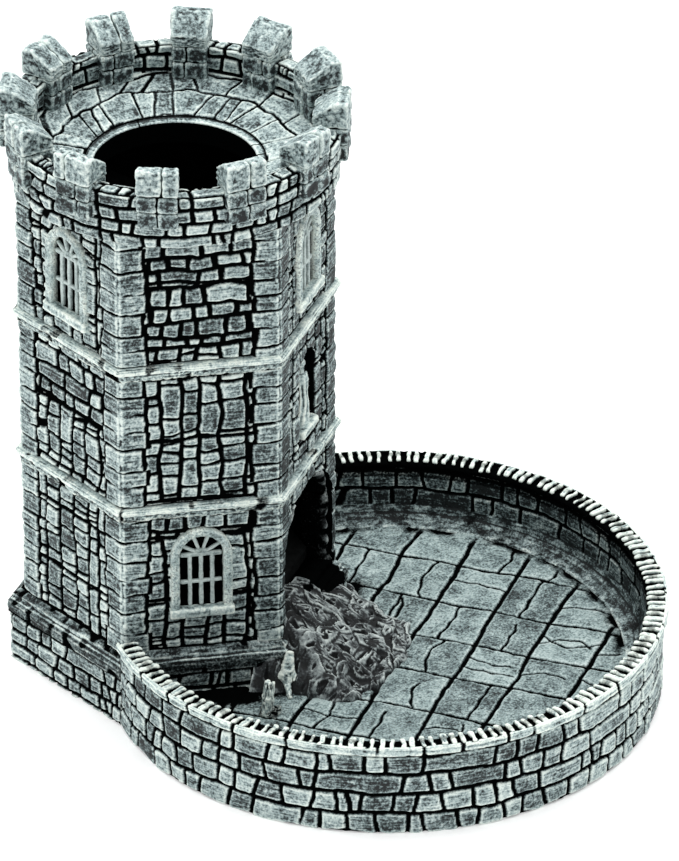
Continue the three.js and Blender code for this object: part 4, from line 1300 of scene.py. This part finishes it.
def painted_stone(name, dark, middle, pale, cream, bias=0.0, streaks=1.1, speckle=0.5, highlight=1.0):
    """Black wash in the joints, a grey base coat and pale paint dragged over whatever stands out."""
    n = Nodes(name)
    position = n.add("ShaderNodeTexCoord").outputs["Object"]
    flow = n.attribute("flow", "Vector")
    wash, tone, edge = (n.attribute(key) for key in ("wash", "tone", "edge"))
    grain = n.noise(position, 1500, 3, 0.65)
    patches = n.noise(position, 170, 2, 0.55)
    brush = n.noise(n.scaled(flow, (150, 1500, 1)), 1.0, 3, 0.6)
    level = n.math("MULTIPLY_ADD", tone, 0.15, 0.5 + bias)
    level = n.math("ADD", level, n.math("MULTIPLY", n.math("SUBTRACT", patches, 0.5), 0.8))
    level = n.math("ADD", level, n.math("MULTIPLY", n.math("SUBTRACT", brush, 0.5), streaks))
    level = n.math("ADD", level, n.math("MULTIPLY", n.math("SUBTRACT", grain, 0.5), speckle * 2.2))
    raised = n.math("MULTIPLY", edge, 2.6 * highlight)
    level = n.math("ADD", level, n.math("MINIMUM", n.math("MAXIMUM", raised, -0.6), 0.5), clamp=True)
    paint = n.ramp(level, [(0.0, linear(dark)), (0.24, linear(dark)), (0.42, linear(middle)),
                           (0.62, linear(pale)), (1.0, linear(cream))])
    pits = n.math("MULTIPLY_ADD", n.noise(position, 1750, 1, 0.5), -9.0, 4.25, clamp=True)
    pitted = n.math("MULTIPLY_ADD", tone, -0.75, n.math("MULTIPLY_ADD", patches, 2.4, -0.95), clamp=True)
    paint = n.mix(n.math("MULTIPLY", n.math("MULTIPLY", pits, pitted), 1.1 * speckle, clamp=True), paint,
                  linear(dark))
    cover = n.math("ADD", wash, n.math("MULTIPLY", n.math("SUBTRACT", grain, 0.5), 0.6))
    exposed = n.ramp(cover, [(0.3, [0, 0, 0, 1]), (0.8, [1, 1, 1, 1])])
    colour = n.mix(exposed, linear((4, 5, 5)), paint)
    n.link(colour, n.shader.inputs["Base Color"])
    n.link(n.math("MULTIPLY_ADD", grain, 0.3, 0.5), n.shader.inputs["Roughness"])
    n.link(n.math("MULTIPLY", exposed, 0.3), n.shader.inputs["Specular IOR Level"])
    bump = n.add("ShaderNodeBump")
    bump.inputs["Strength"].default_value = 0.6
    bump.inputs["Distance"].default_value = 0.00035
    n.link(n.math("ADD", grain, n.math("MULTIPLY", brush, 0.5)), bump.inputs["Height"])
    n.link(bump.outputs["Normal"], n.shader.inputs["Normal"])
    return n.material


def dark_cast(name):
    """The inside of the tower: near black with a little grey grain."""
    n = Nodes(name)
    position = n.add("ShaderNodeTexCoord").outputs["Object"]
    grain = n.noise(position, 600, 3)
    n.link(n.ramp(grain, [(0.3, linear((4, 5, 5))), (0.75, linear((20, 22, 22)))]),
           n.shader.inputs["Base Color"])
    n.link(n.math("MULTIPLY_ADD", grain, 0.3, 0.55), n.shader.inputs["Roughness"])
    n.shader.inputs["Specular IOR Level"].default_value = 0.05
    bump = n.add("ShaderNodeBump")
    bump.inputs["Strength"].default_value = 0.4
    bump.inputs["Distance"].default_value = 0.0003
    n.link(grain, bump.inputs["Height"])
    n.link(bump.outputs["Normal"], n.shader.inputs["Normal"])
    return n.material


# ------------------------------------------------------------------ assembly


def place(obj, nodes, slot, material, smooth_shading=True):
    """Gives a finished piece its paint and its body, and hides the CAD nodes it stands for."""
    add_edge_attribute(obj)
    obj.data.materials.clear()
    obj.data.materials.append(material)
    obj.data.polygons.foreach_set("use_smooth", [smooth_shading] * len(obj.data.polygons))
    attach(obj, "root")
    if nodes:
        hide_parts(*nodes)
    return obj


stone = painted_stone("painted_stone", (22, 27, 28), (96, 111, 112), (156, 173, 173), (218, 229, 223),
                      bias=-0.05, speckle=0.55)
pale = painted_stone("pale_painted_stone", (32, 38, 39), (112, 128, 128), (168, 186, 185), (232, 241, 232),
                     bias=0.03, speckle=0.5)
flags = painted_stone("painted_flagstone", (24, 31, 32), (102, 119, 120), (154, 172, 171), (200, 214, 212),
                      streaks=0.0, bias=-0.02, speckle=0.6, highlight=0.7)
rubble = painted_stone("painted_rubble", (18, 21, 22), (50, 55, 57), (128, 137, 137), (196, 206, 203),
                       bias=-0.12, streaks=0.0, speckle=0.3)
iron = painted_stone("painted_bars", (24, 29, 30), (84, 96, 97), (140, 155, 154), (190, 203, 200), bias=-0.05,
                     streaks=0.0)
black = dark_cast("black_cast")

place(make_plinth(100), ["plinth"], "stone", stone)
lower_cuts = [window_cutter(name) for name, (_, wall) in WINDOWS.items() if wall == "wall_lower"]
lower_cuts.append(wall_prism(0, arch(20.6, 26.0, 49.0, 64.6), 20, 60))
upper_cuts = [window_cutter(name) for name, (_, wall) in WINDOWS.items() if wall == "wall_upper"]
niche_low = z_range("niche_statue")[0] - 0.3
niche_cut = wall_prism(0, arch(NICHE_HALF, niche_low, 103.4, 110), face_x("wall_middle") - 4.6, 60)
place(make_storey("wall_lower", 210, lower_cuts), ["wall_lower"], "stone", stone)
place(make_storey("wall_middle", 220, [niche_cut]), ["wall_middle"], "stone", stone)
place(make_storey("wall_upper", 230, upper_cuts), ["wall_upper"], "stone", stone)
place(make_course("course_lower", 300), ["course_lower"], "pale_stone", pale)
place(make_course("course_upper", 320), ["course_upper"], "pale_stone", pale)
place(make_parapet(400), ["parapet"], "stone", stone)
place(make_deck(440), ["crown_deck"], "stone", stone)
for number in range(12):
    merlon = "merlon_%02d" % (number + 1)
    place(make_merlon(merlon, 15 + 30 * number, 500 + 13 * number), [merlon], "stone", stone)
for number, window in enumerate(WINDOWS):
    place(make_window_frame(window, 700 + 9 * number), ["window_frame_" + window], "pale_stone", pale)
    place(make_window_grille(window, 760 + 50 * number), ["window_grille_" + window], "dark_stone", iron)
place(make_niche_statue(900), ["niche_statue"], "dark_stone", pale)
place(make_exit_arch(920), ["exit_arch"], "dark_stone", rubble)
place(make_tray_wall(1000), ["tray_wall"], "stone", stone)
coping_bed, coping_slats = make_tray_coping(1100)
place(coping_bed, ["tray_coping"], "pale_stone", pale)
place(coping_slats, [], "pale_stone", pale)
place(make_tray_floor(1200), ["tray_floor"], "flagstone", flags)
place(make_rubble(1300), ["rubble_apron"], "dark_stone", rubble)
place(make_standing_stone(1400), ["standing_stone"], "dark_stone", pale)
place(make_corner_rock(1420), [], "dark_stone", pale)
for node in ("exit_ramp", "baffle_lower", "baffle_upper"):
    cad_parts[node].data.materials.clear()
    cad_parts[node].data.materials.append(black)

# ------------------------------------------------------------------ stage, light and camera


def make_floor():
    mesh = bpy.data.meshes.new("table_top")
    size = 6.0
    mesh.from_pydata([(-size, -size, 0), (size, -size, 0), (size, size, 0), (-size, size, 0)], [],
                     [(0, 1, 2, 3)])
    table = bpy.data.objects.new("table_top", mesh)
    bpy.context.scene.collection.objects.link(table)
    n = Nodes("white_table")
    n.shader.inputs["Base Color"].default_value = (0.92, 0.92, 0.92, 1)
    n.shader.inputs["Roughness"].default_value = 0.8
    n.shader.inputs["Emission Color"].default_value = (1, 1, 1, 1)
    n.shader.inputs["Emission Strength"].default_value = 0.2
    mesh.materials.append(n.material)


def add_area(name, position, target, size, watts):
    light = bpy.data.lights.new(name, "AREA")
    light.shape = "RECTANGLE"
    light.size, light.size_y = size
    light.energy = watts
    obj = bpy.data.objects.new(name, light)
    obj.location = position
    direction = np.array(target) - np.array(position)
    obj.rotation_euler = look_rotation(direction)
    bpy.context.scene.collection.objects.link(obj)


def look_rotation(direction):
    from mathutils import Vector
    return Vector(direction).to_track_quat("-Z", "Y").to_euler()


def add_lights():
    world = bpy.data.worlds.new("studio")
    world.use_nodes = True
    world.node_tree.nodes["Background"].inputs["Color"].default_value = (1, 1, 1, 1)
    world.node_tree.nodes["Background"].inputs["Strength"].default_value = 0.85
    bpy.context.scene.world = world
    add_area("overhead", (0.0, 0.25, 1.3), (0, 0, 0.05), (1.4, 1.2), 16)
    add_area("side_left", (-1.1, -0.35, 0.75), (0, 0, 0.08), (0.9, 0.9), 4)


CAMERA_AZIMUTH, CAMERA_ELEVATION = 19.85, 30.89
CAMERA_AIM = (0.0015, 0.0, 0.0843)
CAMERA_DISTANCE = 2.340
CAMERA_LENS = 331.4


def add_camera():
    camera = bpy.data.cameras.new("camera")
    camera.lens = CAMERA_LENS
    camera.sensor_width = 36
    camera.clip_end = 100
    obj = bpy.data.objects.new("camera", camera)
    a, e = math.radians(CAMERA_AZIMUTH), math.radians(CAMERA_ELEVATION)
    back = np.array([math.sin(a) * math.cos(e), -math.cos(a) * math.cos(e), math.sin(e)])
    obj.location = np.array(CAMERA_AIM) + back * CAMERA_DISTANCE
    obj.rotation_euler = look_rotation(-back)
    bpy.context.scene.collection.objects.link(obj)
    bpy.context.scene.camera = obj


make_floor()
add_lights()
add_camera()
bpy.context.scene.view_settings.view_transform = "Standard"
